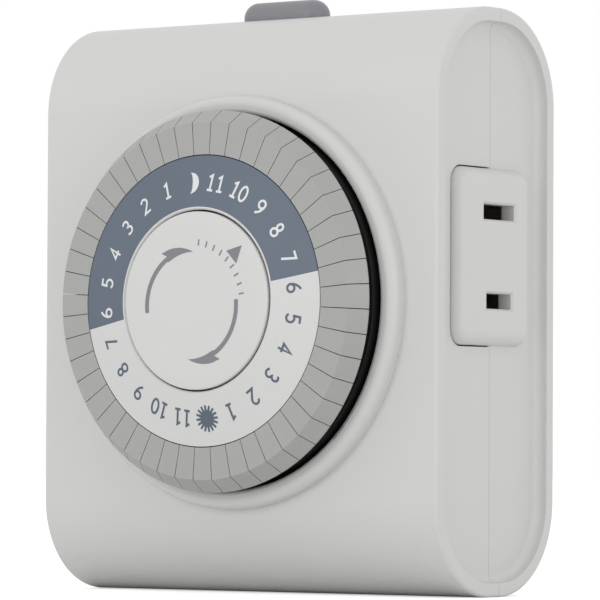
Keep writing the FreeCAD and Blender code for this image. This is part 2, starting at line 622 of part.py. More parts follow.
def mechanism_plate():
    base = box("-plate_left", PLATE_RIGHT, "-plate_front", "-" + PLATE_BACK,
               "-plate_bottom - plug_rise", "plate_top - plug_rise")
    holes = [rod("spindle_radius", "0", "-" + PLATE_BACK, DIAL_Z, "-plate_front"),
             rod("motor_shaft + 0.4", MOTOR[0], "-" + PLATE_BACK, MOTOR[1], "-plate_front")]
    holes += [rod("arbor_radius", x, "-" + PLATE_BACK, z, "-plate_front") for x, z in (CLUTCH, FIRST)]
    holes += [rod("screw_shank + shaft_play", x, "-" + PLATE_BACK, z, "-plate_front") for x, z in POSTS]
    holes += [rod("screw_shank", x, "-" + PLATE_BACK, z, "-plate_front") for x, z in EARS]
    holes.append(rod("screw_shank", "arm_x", "-" + PLATE_BACK, "arm_foot + 2.5 - plug_rise", "-plate_front"))
    keep("mechanism_plate", cut("MechanismPlate", base, joined("PlateHoles", holes)))


EARS = [("(%s + motor_ear_out * cos(motor_ear_angle + %d))" % (MOTOR[0], turn),
         "(%s + motor_ear_out * sin(motor_ear_angle + %d))" % (MOTOR[1], turn)) for turn in (0, 180)]


def gears():
    keep("gear_arbors", grouped("GearArbors", [
        rod("arbor_radius", CLUTCH[0], "-" + PLATE_BACK, CLUTCH[1], "-dial_gear_front - 0.6"),
        rod("arbor_radius", FIRST[0], "-" + PLATE_BACK, FIRST[1], "-clutch_wheel_front - 0.9")]))
    pinion_phase = "180 + 180 / teeth_pinion"
    # Clutch: the wheel turns the pinion through a spring washer, so the dial can be set by hand.
    bore = "arbor_radius + shaft_play"
    wheel_back = "(clutch_wheel_front - train_wheel_thick)"
    keep("clutch_gear", gear_ring("ClutchGear", "train_module", "teeth_wheel", "gear_hub + shaft_play",
                                  "clutch_wheel_front", "train_wheel_thick", CLUTCH[0], CLUTCH[1],
                                  "first_angle"))
    pinion = gear_ring("ClutchPinionTeeth", "dial_module", "teeth_clutch_pinion", bore,
                       "dial_gear_front + 0.2", "dial_gear_thick + 0.5", CLUTCH[0], CLUTCH[1],
                       "clutch_angle + 180 + 180 / teeth_clutch_pinion")
    sleeve = tube(bore, "gear_hub", CLUTCH, "dial_gear_front - dial_gear_thick - 0.3", "plate_front + 0.2")
    collar = tube(bore, "gear_hub + 1", CLUTCH, wheel_back + " - 0.5", wheel_back + " - 1.1")
    keep("clutch_pinion", joined("ClutchPinion", [pinion, sleeve, collar]))
    keep("clutch_spring", tube("gear_hub + shaft_play", "gear_hub + 1.5", CLUTCH,
                               wheel_back, wheel_back + " - 0.5"))
    first = gear_ring("FirstWheel", "train_module", "teeth_wheel", bore, "first_wheel_front",
                      "train_wheel_thick", FIRST[0], FIRST[1], "motor_angle")
    small = gear_ring("FirstPinion", "train_module", "teeth_pinion", bore, "clutch_wheel_front + 0.4",
                      "clutch_wheel_front + 0.5 - first_wheel_front", FIRST[0], FIRST[1],
                      "first_angle + " + pinion_phase)
    hub = tube(bore, "gear_hub", FIRST, "first_wheel_front - 0.5", "plate_front + 0.2")
    keep("first_gear", joined("FirstGear", [first, small, hub]))
    small = gear_ring("MotorPinionTeeth", "train_module", "teeth_pinion", "motor_shaft / 2",
                      "first_wheel_front + 0.3", "train_wheel_thick + 0.6", MOTOR[0], MOTOR[1],
                      "motor_angle + " + pinion_phase)
    shaft = rod("motor_shaft", MOTOR[0], "-%s + 1.6" % PLATE_BACK, MOTOR[1], "-first_wheel_front + 0.4")
    core = rod("motor_shaft / 2", MOTOR[0], "-first_wheel_front + 1", MOTOR[1], "-first_wheel_front - 0.3")
    keep("motor_pinion", joined("MotorPinion", [small, shaft, core]))


def tube(inner, outer, spot, front, back):
    x, z = spot
    hull = rod(outer, x, "-(%s)" % back, z, "-(%s)" % front)
    bore = rod(inner, x, "-(%s)" % back, z, "-(%s)" % front)
    return cut("Tube", hull, bore)


def motor():
    back = "(%s - motor_ear_thick)" % PLATE_BACK
    end = "(%s - motor_long)" % PLATE_BACK
    x, z = MOTOR
    ears = [rod("motor_ear_radius", ex, "-" + back, ez, "-" + PLATE_BACK) for ex, ez in EARS]
    bar = box("-motor_ear_out", "motor_ear_out", "-" + PLATE_BACK, "-" + back,
              "-motor_ear_radius", "motor_ear_radius")
    bar.Placement = FreeCAD.Placement(V(), FreeCAD.Rotation(V(0, 1, 0), -size("motor_ear_angle")))
    ca, sa = "cos(motor_ear_angle)", "sin(motor_ear_angle)"
    bind(bar, "Placement.Base.x", "%s - motor_ear_out * %s + motor_ear_radius * %s" % (x, ca, sa))
    bind(bar, "Placement.Base.y", "-" + PLATE_BACK)
    bind(bar, "Placement.Base.z", "%s - motor_ear_out * %s - motor_ear_radius * %s" % (z, sa, ca))
    lid = joined("MotorLid", ears + [bar, rod("motor_radius", x, "-" + back, z, "-" + PLATE_BACK)])
    holes = [rod("screw_shank + shaft_play", ex, "-" + back, ez, "-" + PLATE_BACK) for ex, ez in EARS]
    holes.append(rod("motor_shaft + shaft_play", x, "-" + back, z, "-" + PLATE_BACK))
    keep("motor_cover", cut("MotorCover", lid, joined("LidHoles", holes)))
    keep("motor_can", cut("MotorCan", rod("motor_radius", x, "-" + end, z, "-" + back),
                          rod("motor_radius - motor_wall", x, "-%s - motor_wall" % end, z, "-" + back)))
    keep("motor_coil", tube("motor_radius / 2", "motor_radius - motor_wall - 0.3", MOTOR,
                            back + " - 3", end + " + motor_wall"))
    keep("motor_rotor", rod("motor_radius / 2 - 0.4", x, "-%s - motor_wall - 0.3" % end, z, "-%s + 3" % back))


def screw(spot, shank, head, tip, seat, top):
    """A pan head screw along Y with a cross recess, from its tip to the seat and top of its head."""
    x, z = spot
    forward = value_of(top) > value_of(seat)
    low, high = (seat, top) if forward else (top, seat)
    first, last = (tip, seat) if forward else (seat, tip)
    stem = rod(shank, x, "-(%s)" % first, z, "-(%s)" % last)
    plain = joined("PanHead", [stem, rod(head, x, "-(%s)" % low, z, "-(%s)" % high)])
    floor = "%s %s cross_deep" % (top, "-" if forward else "+")
    low, high = (floor, top) if forward else (top, floor)
    arms = [box("%s - %s" % (x, a), "%s + %s" % (x, a), "-(%s)" % high, "-(%s)" % low,
                "%s - %s" % (z, b), "%s + %s" % (z, b))
            for a, b in (("cross_reach * " + head, "cross_half"), ("cross_half", "cross_reach * " + head))]
    return cut("Screw", plain, joined("Cross", arms))


def screws():
    lid = "(%s - motor_ear_thick)" % PLATE_BACK
    keep("case_screws", grouped("CaseScrews", [
        screw(spot, "case_screw_shank", "case_screw_head", "rear_depth + case_screw_grip",
              "case_screw_sink", "case_screw_sink - screw_head_high") for spot in CASE_SCREWS]))
    keep("plate_screws", grouped("PlateScrews", [
        screw(spot, "screw_shank", "screw_head", PLATE_BACK + " - plate_screw_grip",
              "plate_front", "plate_front + screw_head_high") for spot in POSTS]))
    keep("motor_screws", grouped("MotorScrews", [
        screw(spot, "screw_shank", "screw_head", "plate_front", lid, lid + " - screw_head_high")
        for spot in EARS]))


# Mains path

def blade(name, x, wide):
    body = new_body(name)
    sk = sketch_on(body, name + "_outline", "YZ_Plane", x)
    long = "blade_out"
    outline(sk, [("-blade_tail", "-%s / 2" % wide), (long, "-%s / 2" % wide), (long, "%s / 2" % wide),
                 ("-blade_tail", "%s / 2" % wide)])
    flat = pad(body, name + "_flat", sk, "blade_thick", both=True)
    doc.recompute()
    tip = edges_where(flat, lambda b, e: b.XLength > 1 and abs(b.YMin - size("blade_out")) < 1e-3)
    soften(body, "Fillet", name + "_tip", flat, tip, "blade_round")
    hole = sketch_on(body, name + "_hole_outline", "YZ_Plane", x)
    circle(hole, "blade_hole_out", "0", "blade_hole")
    pocket(body, name + "_hole", hole, "2 * blade_thick", both=True)
    return keep(name, body)


def outlet_contact(name, z, wide):
    """A folded spring clip behind one outlet slot; its mouth faces the slot."""
    y0, y1 = "(-outlet_mid_depth - %s / 2)" % wide, "(-outlet_mid_depth + %s / 2)" % wide
    x1 = "(case_width / 2 - panel_recess - panel_wall - clip_gap)"
    x0 = "(%s - clip_long)" % x1
    inner, outer = "clip_mouth", "(clip_mouth + clip_stock)"
    leaves = [box(x0, x1, y0, y1, "%s + %s" % (z, inner), "%s + %s" % (z, outer)),
              box(x0, x1, y0, y1, "%s - %s" % (z, outer), "%s - %s" % (z, inner)),
              box(x0 + " - clip_stock", x0, y0, y1, "%s - %s" % (z, outer), "%s + %s" % (z, outer))]
    return keep(name, joined(name, leaves))


def mains_path():
    blade("neutral_blade", "-blade_spacing / 2", "neutral_blade_wide")
    blade("line_blade", "blade_spacing / 2", "line_blade_wide")
    outlet_contact("outlet_neutral_contact", "blade_spacing / 2", "neutral_slot_long")
    outlet_contact("outlet_line_contact", "-blade_spacing / 2", "line_slot_long")
    t = "contact_arm_stock"
    clip_x = "(case_width / 2 - panel_recess - panel_wall - clip_gap - clip_long - clip_stock)"
    nx, lx = "(-blade_spacing / 2)", "(blade_spacing / 2)"
    upper = "(blade_spacing / 2)"
    # The neutral bar runs over the line blade to the upper outlet contact.
    keep("neutral_bar", joined("NeutralBar", [
        box(nx + " - 2", nx + " + 2", "-blade_tail - " + t, "-blade_tail", "-2", upper + " + 1.2"),
        box(nx + " - 2", clip_x, "-blade_tail - " + t, "-blade_tail", upper + " - 1.2", upper + " + 1.2"),
        box(clip_x + " - " + t, clip_x, "-outlet_mid_depth - 0.6", "-blade_tail - %s" % t,
            upper + " - 1.2", upper + " + 1.2")]))
    # The line bar runs from the line blade to the foot of the moving arm, below the neutral bar.
    foot = "(arm_foot - plug_rise)"
    rivet_z = "arm_foot + 2.5 - plug_rise"
    line_bar = joined("LineBarPlain", [
        box(lx + " - 1.5", lx + " + 2", "-blade_tail - " + t, "-blade_tail", "-3", "2"),
        box("line_bar_step", lx + " + 2", "-blade_tail - " + t, "-blade_tail", "-3", "-1"),
        box("line_bar_step", "line_bar_step + " + t, "-blade_tail - 4", "-blade_tail - " + t, "-3", "-1"),
        box("arm_x - 2", "line_bar_step + " + t, "-blade_tail - 4 - " + t, "-blade_tail - 4", "-3", "-1"),
        box("arm_x - 2", "arm_x + 2", "-blade_tail - 4 - " + t, "-blade_tail - 4", "-3", foot + " + 4.5")])
    keep("line_bar", cut("LineBar", line_bar, rod("screw_shank", "arm_x", "-blade_tail - 3", rivet_z,
                                                  "-blade_tail - 5 - " + t)))
    fixed_y = "(-arm_face + arm_thick + 2 * contact_rise + contact_gap)"
    low, high = "(fixed_low - plug_rise)", "(fixed_high - plug_rise)"
    drop_x = "(%s - fixed_drop)" % clip_x
    keep("fixed_arm", joined("FixedArm", [
        box("arm_x - arm_wide / 2", "arm_x + arm_wide / 2", fixed_y, fixed_y + " + " + t, low,
            "contact_high + 1.5 - plug_rise"),
        box("arm_x - arm_wide / 2", drop_x, fixed_y, fixed_y + " + " + t, low, high),
        box(drop_x + " - 2.5", drop_x, fixed_y, fixed_y + " + " + t, "-blade_spacing / 2 - 1.2", high),
        box(drop_x + " - 2.5", clip_x, fixed_y, fixed_y + " + " + t, "-blade_spacing / 2 - 1.2",
            "-blade_spacing / 2 + 1.2")]))
    keep("fixed_rivet", rod("contact_radius", "arm_x", fixed_y, "contact_high - plug_rise",
                            fixed_y + " - contact_rise"))
    # The spring arm is modelled in two lengths: the riveted foot, and the length that bends away from it.
    foot_strip = box("arm_x - arm_wide / 2", "arm_x + arm_wide / 2", "-arm_face", "-arm_face + arm_thick",
                     "arm_foot - plug_rise", "plate_top - plug_rise")
    keep("arm_foot", cut("ArmFoot", foot_strip, rod("screw_shank", "arm_x", "-plate_front", rivet_z,
                                                    "-arm_face - 1")))
    keep("moving_arm", box("arm_x - arm_wide / 2", "arm_x + arm_wide / 2", "-arm_face",
                           "-arm_face + arm_thick", "plate_top + shaft_play - plug_rise",
                           "arm_tip - plug_rise"))
    keep("moving_rivet", rod("contact_radius", "arm_x", "-arm_face + arm_thick + contact_rise",
                             "contact_high - plug_rise", "-arm_face + arm_thick"))
    keep("arm_rivet", rod("screw_shank", "arm_x", "-blade_tail - 4", rivet_z, "-arm_face - 0.6"))


def bent_wire(points, radius, bend):
    """Insulated wire: straight runs joined by arcs that touch both runs."""
    edges = []
    start = points[0]
    for before, corner, after in zip(points, points[1:], points[2:]):
        into = (corner - before).normalize()
        out = (after - corner).normalize()
        turn = into.getAngle(out)
        cutback = bend * math.tan(turn / 2)
        a, b = corner - into * cutback, corner + out * cutback
        middle = (out - into).normalize()
        arc_mid = corner + middle * (bend / math.cos(turn / 2) - bend)
        edges += [Part.LineSegment(start, a).toShape(), Part.Arc(a, arc_mid, b).toShape()]
        start = b
    edges.append(Part.LineSegment(start, points[-1]).toShape())
    path = Part.Wire(edges)
    ring = Part.Wire(Part.makeCircle(radius, points[0], points[1] - points[0]))
    return path.makePipeShell([ring], True, True)


def motor_leads():
    """Two leads from the coil out through the can's side to the blades' bars."""
    x, z = value_of(MOTOR[0]), value_of(MOTOR[1])
    side = z + size("motor_radius") + 0.1
    tails = -size("blade_tail") - size("contact_arm_stock")
    ends = []
    for dx, target in ((-3, V(-size("blade_spacing") / 2 - 1, tails - 0.1, -1.2)),
                       (3, V(size("blade_spacing") / 2 - 0.5, tails - 0.1, -2.2))):
        level = tails - size("lead_level")
        points = [V(x + dx, level, side), V(x + dx, level, side + 2.2), V(target.x, level, side + 4.0),
                  V(target.x, level, target.z), target]
        ends.append(bent_wire(points, size("lead_radius"), size("lead_bend")))
    made = doc.addObject("Part::Feature", "MotorLeads")
    made.Shape = Part.makeCompound(ends)
    keep("motor_leads", made)


# Switch slide and button

def switch_slide():
    x0, x1 = "(slide_x - slide_wide / 2)", "(slide_x + slide_wide / 2)"
    low, high = "(slide_low - plug_rise)", "(slide_low + slide_bar_high - plug_rise)"
    bar = box(x0, x1, "-%s + nose_long" % NOSE_TIP, "-slide_back", low, high)
    nose = box("slide_x - nose_thick / 2", "slide_x + nose_thick / 2", "-" + NOSE_TIP,
               "-%s + nose_long + nose_room" % NOSE_TIP,
               low, "slide_low + 1.4 - plug_rise")
    upright = box("arm_x - 1.5", x1, "-arm_face - 3.6", "-arm_face - 1.9", low, "arm_tip - 0.4 - plug_rise")
    finger = box("arm_x - 1.5", "arm_x + 1.5", "-arm_face - 3.6", "-arm_face - shaft_play",
                 "arm_tip - 2.4 - plug_rise", "arm_tip - 0.4 - plug_rise")
    post = box(x0, x1, "-slide_back - 2.8", "-slide_back", low, "slide_low + 9.4 - plug_rise")
    plain = joined("SlidePlain", [bar, nose, upright, finger, post])
    # The post's top slopes at 45 degrees, for the button's stem to push it back.
    ramp = box(x0 + " - 1", x1 + " + 1", "0", "8", "0", "8")
    ramp.Placement = FreeCAD.Placement(V(), FreeCAD.Rotation(V(1, 0, 0), 45))
    place(ramp, x0 + " - 1", "-slide_back - 2.8", "slide_low + 6.6 - plug_rise")
    keep("switch_slide", cut("SwitchSlide", plain, ramp))


def override_button():
    cap = new_body("button_cap")
    sk = sketch_on(cap, "button_plan", "XY_Plane", CASE_TOP + " - case_wall - flange_drop")
    long, deep = "(button_wide / 2)", "(button_deep / 2)"
    corner = "(button_deep / 2 - 0.1)"
    x0, x1 = "(button_x - %s)" % long, "(button_x + %s)" % long
    y0, y1 = "(-rear_depth - %s)" % deep, "(-rear_depth + %s)" % deep
    outline(sk, [(x0, y0), (x1, y0), (x1, y1), (x0, y1)])
    base = pad(cap, "button_lump", sk, "case_wall + flange_drop + button_rise")
    doc.recompute()
    upright = edges_where(base, lambda b, e: b.ZLength > 1)
    base = soften(cap, "Fillet", "button_ends", base, upright, corner)
    top = size("case_height") / 2 - size("plug_rise") + size("button_rise")
    rim = edges_where(base, lambda b, e: b.ZLength < 1e-4 and abs(b.ZMin - top) < 1e-3)
    soften(cap, "Fillet", "button_top", base, rim, "button_soften")
    under = "(%s - case_wall - flange_drop)" % CASE_TOP
    flange = box(x0 + " - flange_extra", x1 + " + flange_extra", y0 + " - flange_extra",
                 y1 + " + flange_extra", under + " - flange_thick", under)
    sx0, sx1 = "(slide_x - slide_wide / 2)", "(slide_x + slide_wide / 2)"
    stem = box(sx0, sx1, "-slide_back - 6.5", "-slide_back - 2", "slide_low + 5 - plug_rise", under)
    plain = joined("ButtonPlain", [cap, flange, stem])
    # The stem's foot has the same slope as the post that it pushes.
    wedge = box(sx0 + " - 1", sx1 + " + 1", "0", "12", "0", "12")
    wedge.Placement = FreeCAD.Placement(V(), FreeCAD.Rotation(V(1, 0, 0), -45))
    place(wedge, sx0 + " - 1", "-slide_back - 2.8 - 6", "slide_low + 6.6 + wedge_play - plug_rise - 6")
    keep("override_button", cut("OverrideButton", plain, wedge))


def button_spring():
    """A coil spring between the shelf and the button's flange, flat ends left open."""
    top = value_of("%s - case_wall - flange_drop - flange_thick" % CASE_TOP)
    bottom = value_of("shelf_top - plug_rise")
    wire, radius = size("spring_wire") / 2, size("spring_radius")
    rise = top - bottom - 2 * wire - 0.1
    helix = Part.makeHelix(rise / size("spring_turns"), rise, radius)
    ring = Part.Wire(Part.makeCircle(wire, V(radius, 0, 0), V(0, 1, 0)))
    coil = Part.Wire(helix.Edges).makePipeShell([ring], True, True)
    made = doc.addObject("Part::Feature", "ButtonSpring")
    made.Shape = coil
    place(made, "spring_x", "-rear_depth + 1.3", "shelf_top - plug_rise + spring_wire / 2 + 0.05")
    keep("button_spring", made)


front_shell()
rear_shell()
dial_and_disc()
trippers()
mechanism_plate()
gears()
motor()
screws()
mains_path()
motor_leads()
switch_slide()
override_button()
button_spring()
doc.recompute()

for obj in doc.Objects:
    if "Invalid" in obj.State or "Error" in obj.State:
        raise RuntimeError("%s failed: %s" % (obj.Label, obj.State))
for name, obj in nodes.items():
    if obj.Shape.isNull() or not obj.Shape.isValid():
        raise RuntimeError("%s has no valid shape" % name)

os.makedirs("parts", exist_ok=True)
for name, obj in nodes.items():
    obj.Shape.exportStep("parts/%s.step" % name)
print(len(nodes), "nodes")
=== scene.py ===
"""Looks of a plug-in timer switch, laid out as an add-on. Sizes in metres; X right, Y into the wall, Z up."""

import math

import bmesh
import bpy
from bpy.props import FloatProperty, FloatVectorProperty, IntProperty, PointerProperty
from mathutils import Matrix, Vector


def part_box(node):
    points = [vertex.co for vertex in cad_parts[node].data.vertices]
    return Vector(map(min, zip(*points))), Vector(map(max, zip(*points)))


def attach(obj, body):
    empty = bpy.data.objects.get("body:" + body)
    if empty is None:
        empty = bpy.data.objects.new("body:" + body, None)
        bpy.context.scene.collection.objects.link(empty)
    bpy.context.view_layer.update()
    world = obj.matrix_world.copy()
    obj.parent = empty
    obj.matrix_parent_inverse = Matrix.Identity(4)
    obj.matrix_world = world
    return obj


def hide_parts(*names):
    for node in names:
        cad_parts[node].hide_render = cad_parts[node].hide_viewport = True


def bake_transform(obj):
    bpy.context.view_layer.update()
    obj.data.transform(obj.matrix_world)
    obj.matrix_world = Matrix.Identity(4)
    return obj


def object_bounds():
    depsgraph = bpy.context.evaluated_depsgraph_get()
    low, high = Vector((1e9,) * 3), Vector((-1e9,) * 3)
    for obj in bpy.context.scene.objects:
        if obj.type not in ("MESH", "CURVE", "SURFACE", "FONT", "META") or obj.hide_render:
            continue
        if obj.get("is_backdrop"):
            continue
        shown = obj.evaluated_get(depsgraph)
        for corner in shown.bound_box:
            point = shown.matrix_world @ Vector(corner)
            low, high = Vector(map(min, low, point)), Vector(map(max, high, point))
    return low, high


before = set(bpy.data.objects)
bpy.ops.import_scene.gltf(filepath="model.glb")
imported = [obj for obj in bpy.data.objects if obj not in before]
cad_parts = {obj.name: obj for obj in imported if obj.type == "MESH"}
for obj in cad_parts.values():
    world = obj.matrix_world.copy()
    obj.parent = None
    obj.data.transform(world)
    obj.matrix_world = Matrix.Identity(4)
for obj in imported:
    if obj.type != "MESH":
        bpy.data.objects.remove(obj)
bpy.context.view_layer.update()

bl_info = {
    "name": "Plug-in timer switch",
    "version": (1, 0, 0),
    "blender": (4, 5, 0),
    "location": "View3D > Sidebar > Timer",
    "description": "Finishes, prints, stage and camera for a plug-in timer switch",
    "category": "Object",
}

MM = 0.001
# The axis of the dial is the axis of its spindle.
DIAL = Vector([(low + high) / 2 for low, high in zip(*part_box("dial_spindle"))])
RING_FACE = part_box("number_ring")[0][1]
DISC_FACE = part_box("centre_disc")[0][1]
# The casing's front face lies this far behind the front of its raised ring.
BEZEL_RISE = 2.5 * MM

# A digit's width and the step to the next digit, as shares of its height.
DIGIT_WIDE = 0.6
DIGIT_PITCH = 0.68
# Each pen stroke lies a little over the one before it, so that no two share a plane.
STROKE_LIFT = 0.003 * MM
STROKE_WELD = 0.001 * MM
# Keeps the corner of a sharply bent stroke from running out to a spike.
MITRE_LEAST = 0.45
ARC_STEPS = 18
# The moon and the sun, as shares of a number's height.
MOON_SHARE = 0.62
SUN_SHARE = 0.78
SUN_RAYS = 16

# The print on the disc stands a little left of the axis and below it.
MARK_SHIFT = 0.7 * MM
# Start, neck and tip of the two round arrows in degrees, counted from the right towards the top.
ARROW_TURNS = ((187, 122, 88), (5.5, -60, -94))
# The corners of the pointer, right and up from the middle of the print.
POINTER = [(6.23 * MM, 7.68 * MM), (8.0 * MM, 5.81 * MM), (8.96 * MM, 8.39 * MM)]
TICK_HALF = 0.12 * MM
TICK_FIRST = math.radians(8)
TICK_STEP = math.radians(9)
DISC_EDGE = 0.25 * MM
DISC_WALL = 1.2 * MM
DISC_TURNS = 96

FLOOR_HALF = 3.0
FLOOR_GLOW = 0.45
# Strength of the white surroundings as a light; rays that see them get full white.
ROOM_LIGHT = 0.79
# Place in metres, width in metres and power in watts of each soft lamp.
LAMPS = {"key_softbox": ((-0.2, -1.1, 0.2), 0.9, 2.7),
         "side_softbox": ((1.0, -0.25, 0.1), 0.6, 1.5)}


def linear(code):
    """An sRGB hex colour as linear light, with full alpha."""
    parts = [int(code[i:i + 2], 16) / 255 for i in (1, 3, 5)]
    return tuple(c / 12.92 if c <= 0.04045 else ((c + 0.055) / 1.055) ** 2.4 for c in parts) + (1.0,)


def add(tree, kind, settings=None, links=None):
    """Add a node: settings go to its attributes or input sockets, links into its input sockets."""
    made = tree.nodes.new(kind)
    for name, value in (settings or {}).items():
        if isinstance(name, str) and hasattr(made, name):
            setattr(made, name, value)
        else:
            made.inputs[name].default_value = value
    for name, source in (links or {}).items():
        tree.links.new(source, made.inputs[name])
    return made


# Properties

def colour(name, code, words):
    return FloatVectorProperty(name=name, description=words, subtype="COLOR", size=4, min=0, max=1,
                               default=linear(code))


def length(name, value, words):
    return FloatProperty(name=name, description=words, subtype="DISTANCE", unit="LENGTH",
                         precision=5, default=value * MM)


def angle(name, value, words):
    return FloatProperty(name=name, description=words, subtype="ANGLE", unit="ROTATION",
                         default=math.radians(value))


class TimerColours(bpy.types.PropertyGroup):
    """Colours of the plastics and the print"""
    case: colour("Case", "#D3D3D1", "Satin white ABS of the two shells")
    dial: colour("Dial", "#D6D6D5", "White ABS of the number ring and the centre disc")
    trippers: colour("Trippers", "#A9AAA7", "Light grey acetal of the trippers")
    # The wheel's near black is painted shade: it keeps the gap round the dial dark.
    wheel: colour("Wheel", "#121212", "Near black of the dial wheel, painted shade for the gap round the dial")
    button: colour("Button", "#828187", "Grey ABS of the override button")
    night_ink: colour("Night ink", "#5D6977", "Blue grey ink on the night half of the ring")
    print_ink: colour("Print ink", "#566270", "Ink of the day half's numbers")
    arrow_ink: colour("Arrow ink", "#808186", "Grey ink of the arrows on the disc")
    white_ink: colour("White ink", "#E2E3E4", "Ink of the night half's numbers")


class TimerPrint(bpy.types.PropertyGroup):
    """Places and sizes of the print on the dial"""
    number_radius: length("Number radius", 16.9, "From the dial's axis to the middle of a number")
    number_height: length("Number height", 2.45, "Height of a number")
    stroke: length("Stroke", 0.34, "Width of a number's strokes")
    ring_inner: length("Ring inner radius", 13.2, "Where the ring's cone is highest")
    ring_slope: angle("Ring slope", 9.7, "How steeply the ring falls away outwards")
    ring_margin: length("Ring margin", 13.4, "Radius where the night half's ink begins")
    hours: IntProperty(name="Hours in half a turn", description="Numbers printed on each half",
                       default=12, min=2)
    first_angle: angle("First angle", -95.3, "Turn of the night half's first number from the top, clockwise")
    night_tilt: angle("Night tilt", 10.8, "Slope of the line between the night half and the day half")
    ink_height: length("Ink height", 0.02, "How far the ink lies above its ground")
    arrow_radius: length("Arrow radius", 8.0, "Radius of the two round arrows")
    arrow_width: length("Arrow width", 0.68, "Width of an arrow's shaft")
    tick_radius: length("Tick radius", 8.6, "Radius of the row of ticks beside the pointer")
    ticks: IntProperty(name="Ticks", description="Ticks in the row beside the pointer", default=9, min=2)
    tick_length: length("Tick length", 0.9, "Length of one tick")


class TimerView(bpy.types.PropertyGroup):
    """The camera of the photograph"""
    azimuth: angle("Azimuth", 36.21, "Turn of the view from straight ahead, towards the right side")
    elevation: angle("Elevation", -1.94, "Height angle of the camera over the dial")
    roll: angle("Roll", 0.27, "Turn of the picture")
    distance: length("Distance", 664.28, "From the camera to the plane through the dial")
    right: length("Shift right", 9.34, "How far the camera stands right of the dial's middle")
    up: length("Shift up", 0.40, "How far the camera stands above the dial's middle")
    lens: FloatProperty(name="Lens", description="Focal length on a 36 mm sensor", subtype="DISTANCE_CAMERA",
                        default=276.486)


# Materials

def shader(name):
    """An empty material with its output; returns the material and its tree."""
    made = bpy.data.materials.new(name)
    made.use_nodes = True
    made.node_tree.nodes.clear()
    return made, made.node_tree


def close(tree, surface):
    add(tree, "ShaderNodeOutputMaterial", links={"Surface": surface})


def varied(tree, base, amount, scale_mm, coords):
    """The base colour, lighter and darker by a share in soft patches of the given size."""
    noise = add(tree, "ShaderNodeTexNoise", {"Scale": 1 / (scale_mm * MM), "Detail": 3.0}, {"Vector": coords})
    shades = [tuple(min(1.0, c * k) for c in base[:3]) + (1.0,) for k in (1 - amount, 1 + amount)]
    mix = add(tree, "ShaderNodeMix", {"data_type": "RGBA", 6: shades[0], 7: shades[1]},
              {0: noise.outputs["Fac"]})
    return mix.outputs[2], noise.outputs["Fac"]


def grain(tree, scale_mm, depth_mm, coords, stretch=(1, 1, 1)):
    """Bump of a fine surface grain; stretch draws the grain out into lines."""
    laid = add(tree, "ShaderNodeMapping", {"Scale": stretch}, {"Vector": coords})
    fine = add(tree, "ShaderNodeTexNoise", {"Scale": 1 / (scale_mm * MM), "Detail": 4.0},
               {"Vector": laid.outputs["Vector"]})
    return add(tree, "ShaderNodeBump", {"Strength": 1.0, "Distance": depth_mm * MM},
               {"Height": fine.outputs["Fac"]}).outputs["Normal"]


def rough_range(tree, factor, low, high):
    spread = add(tree, "ShaderNodeMapRange", {"To Min": low, "To Max": high}, {"Value": factor})
    return spread.outputs["Result"]


def moulded(name, base, rough, ior, grain_mm, depth_mm, see_through=0.0):
    """Injection moulded plastic: even colour, soft gloss, and the mould's fine spark eroded grain."""
    made, tree = shader(name)
    coords = add(tree, "ShaderNodeTexCoord").outputs["Object"]
    tone, patches = varied(tree, base, 0.012, 9.0, coords)
    body = add(tree, "ShaderNodeBsdfPrincipled", {"IOR": ior, "Subsurface Weight": see_through},
               {"Base Color": tone, "Roughness": rough_range(tree, patches, rough - 0.03, rough + 0.03),
                "Normal": grain(tree, grain_mm, depth_mm, coords)})
    body.inputs["Subsurface Radius"].default_value = (0.6 * MM, 0.6 * MM, 0.6 * MM)
    close(tree, body.outputs["BSDF"])
    return made


def drawn_metal(name, base, rough, grain_mm, depth_mm, stretch):
    """Sheet, wire or turned metal: fine lines along the way it was worked, slightly uneven tone."""
    made, tree = shader(name)
    coords = add(tree, "ShaderNodeTexCoord").outputs["Object"]
    tone, patches = varied(tree, base, 0.06, 2.5, coords)
    body = add(tree, "ShaderNodeBsdfPrincipled", {"Metallic": 1.0},
               {"Base Color": tone, "Roughness": rough_range(tree, patches, rough - 0.06, rough + 0.08),
                "Normal": grain(tree, grain_mm, depth_mm, coords, stretch)})
    close(tree, body.outputs["BSDF"])
    return made


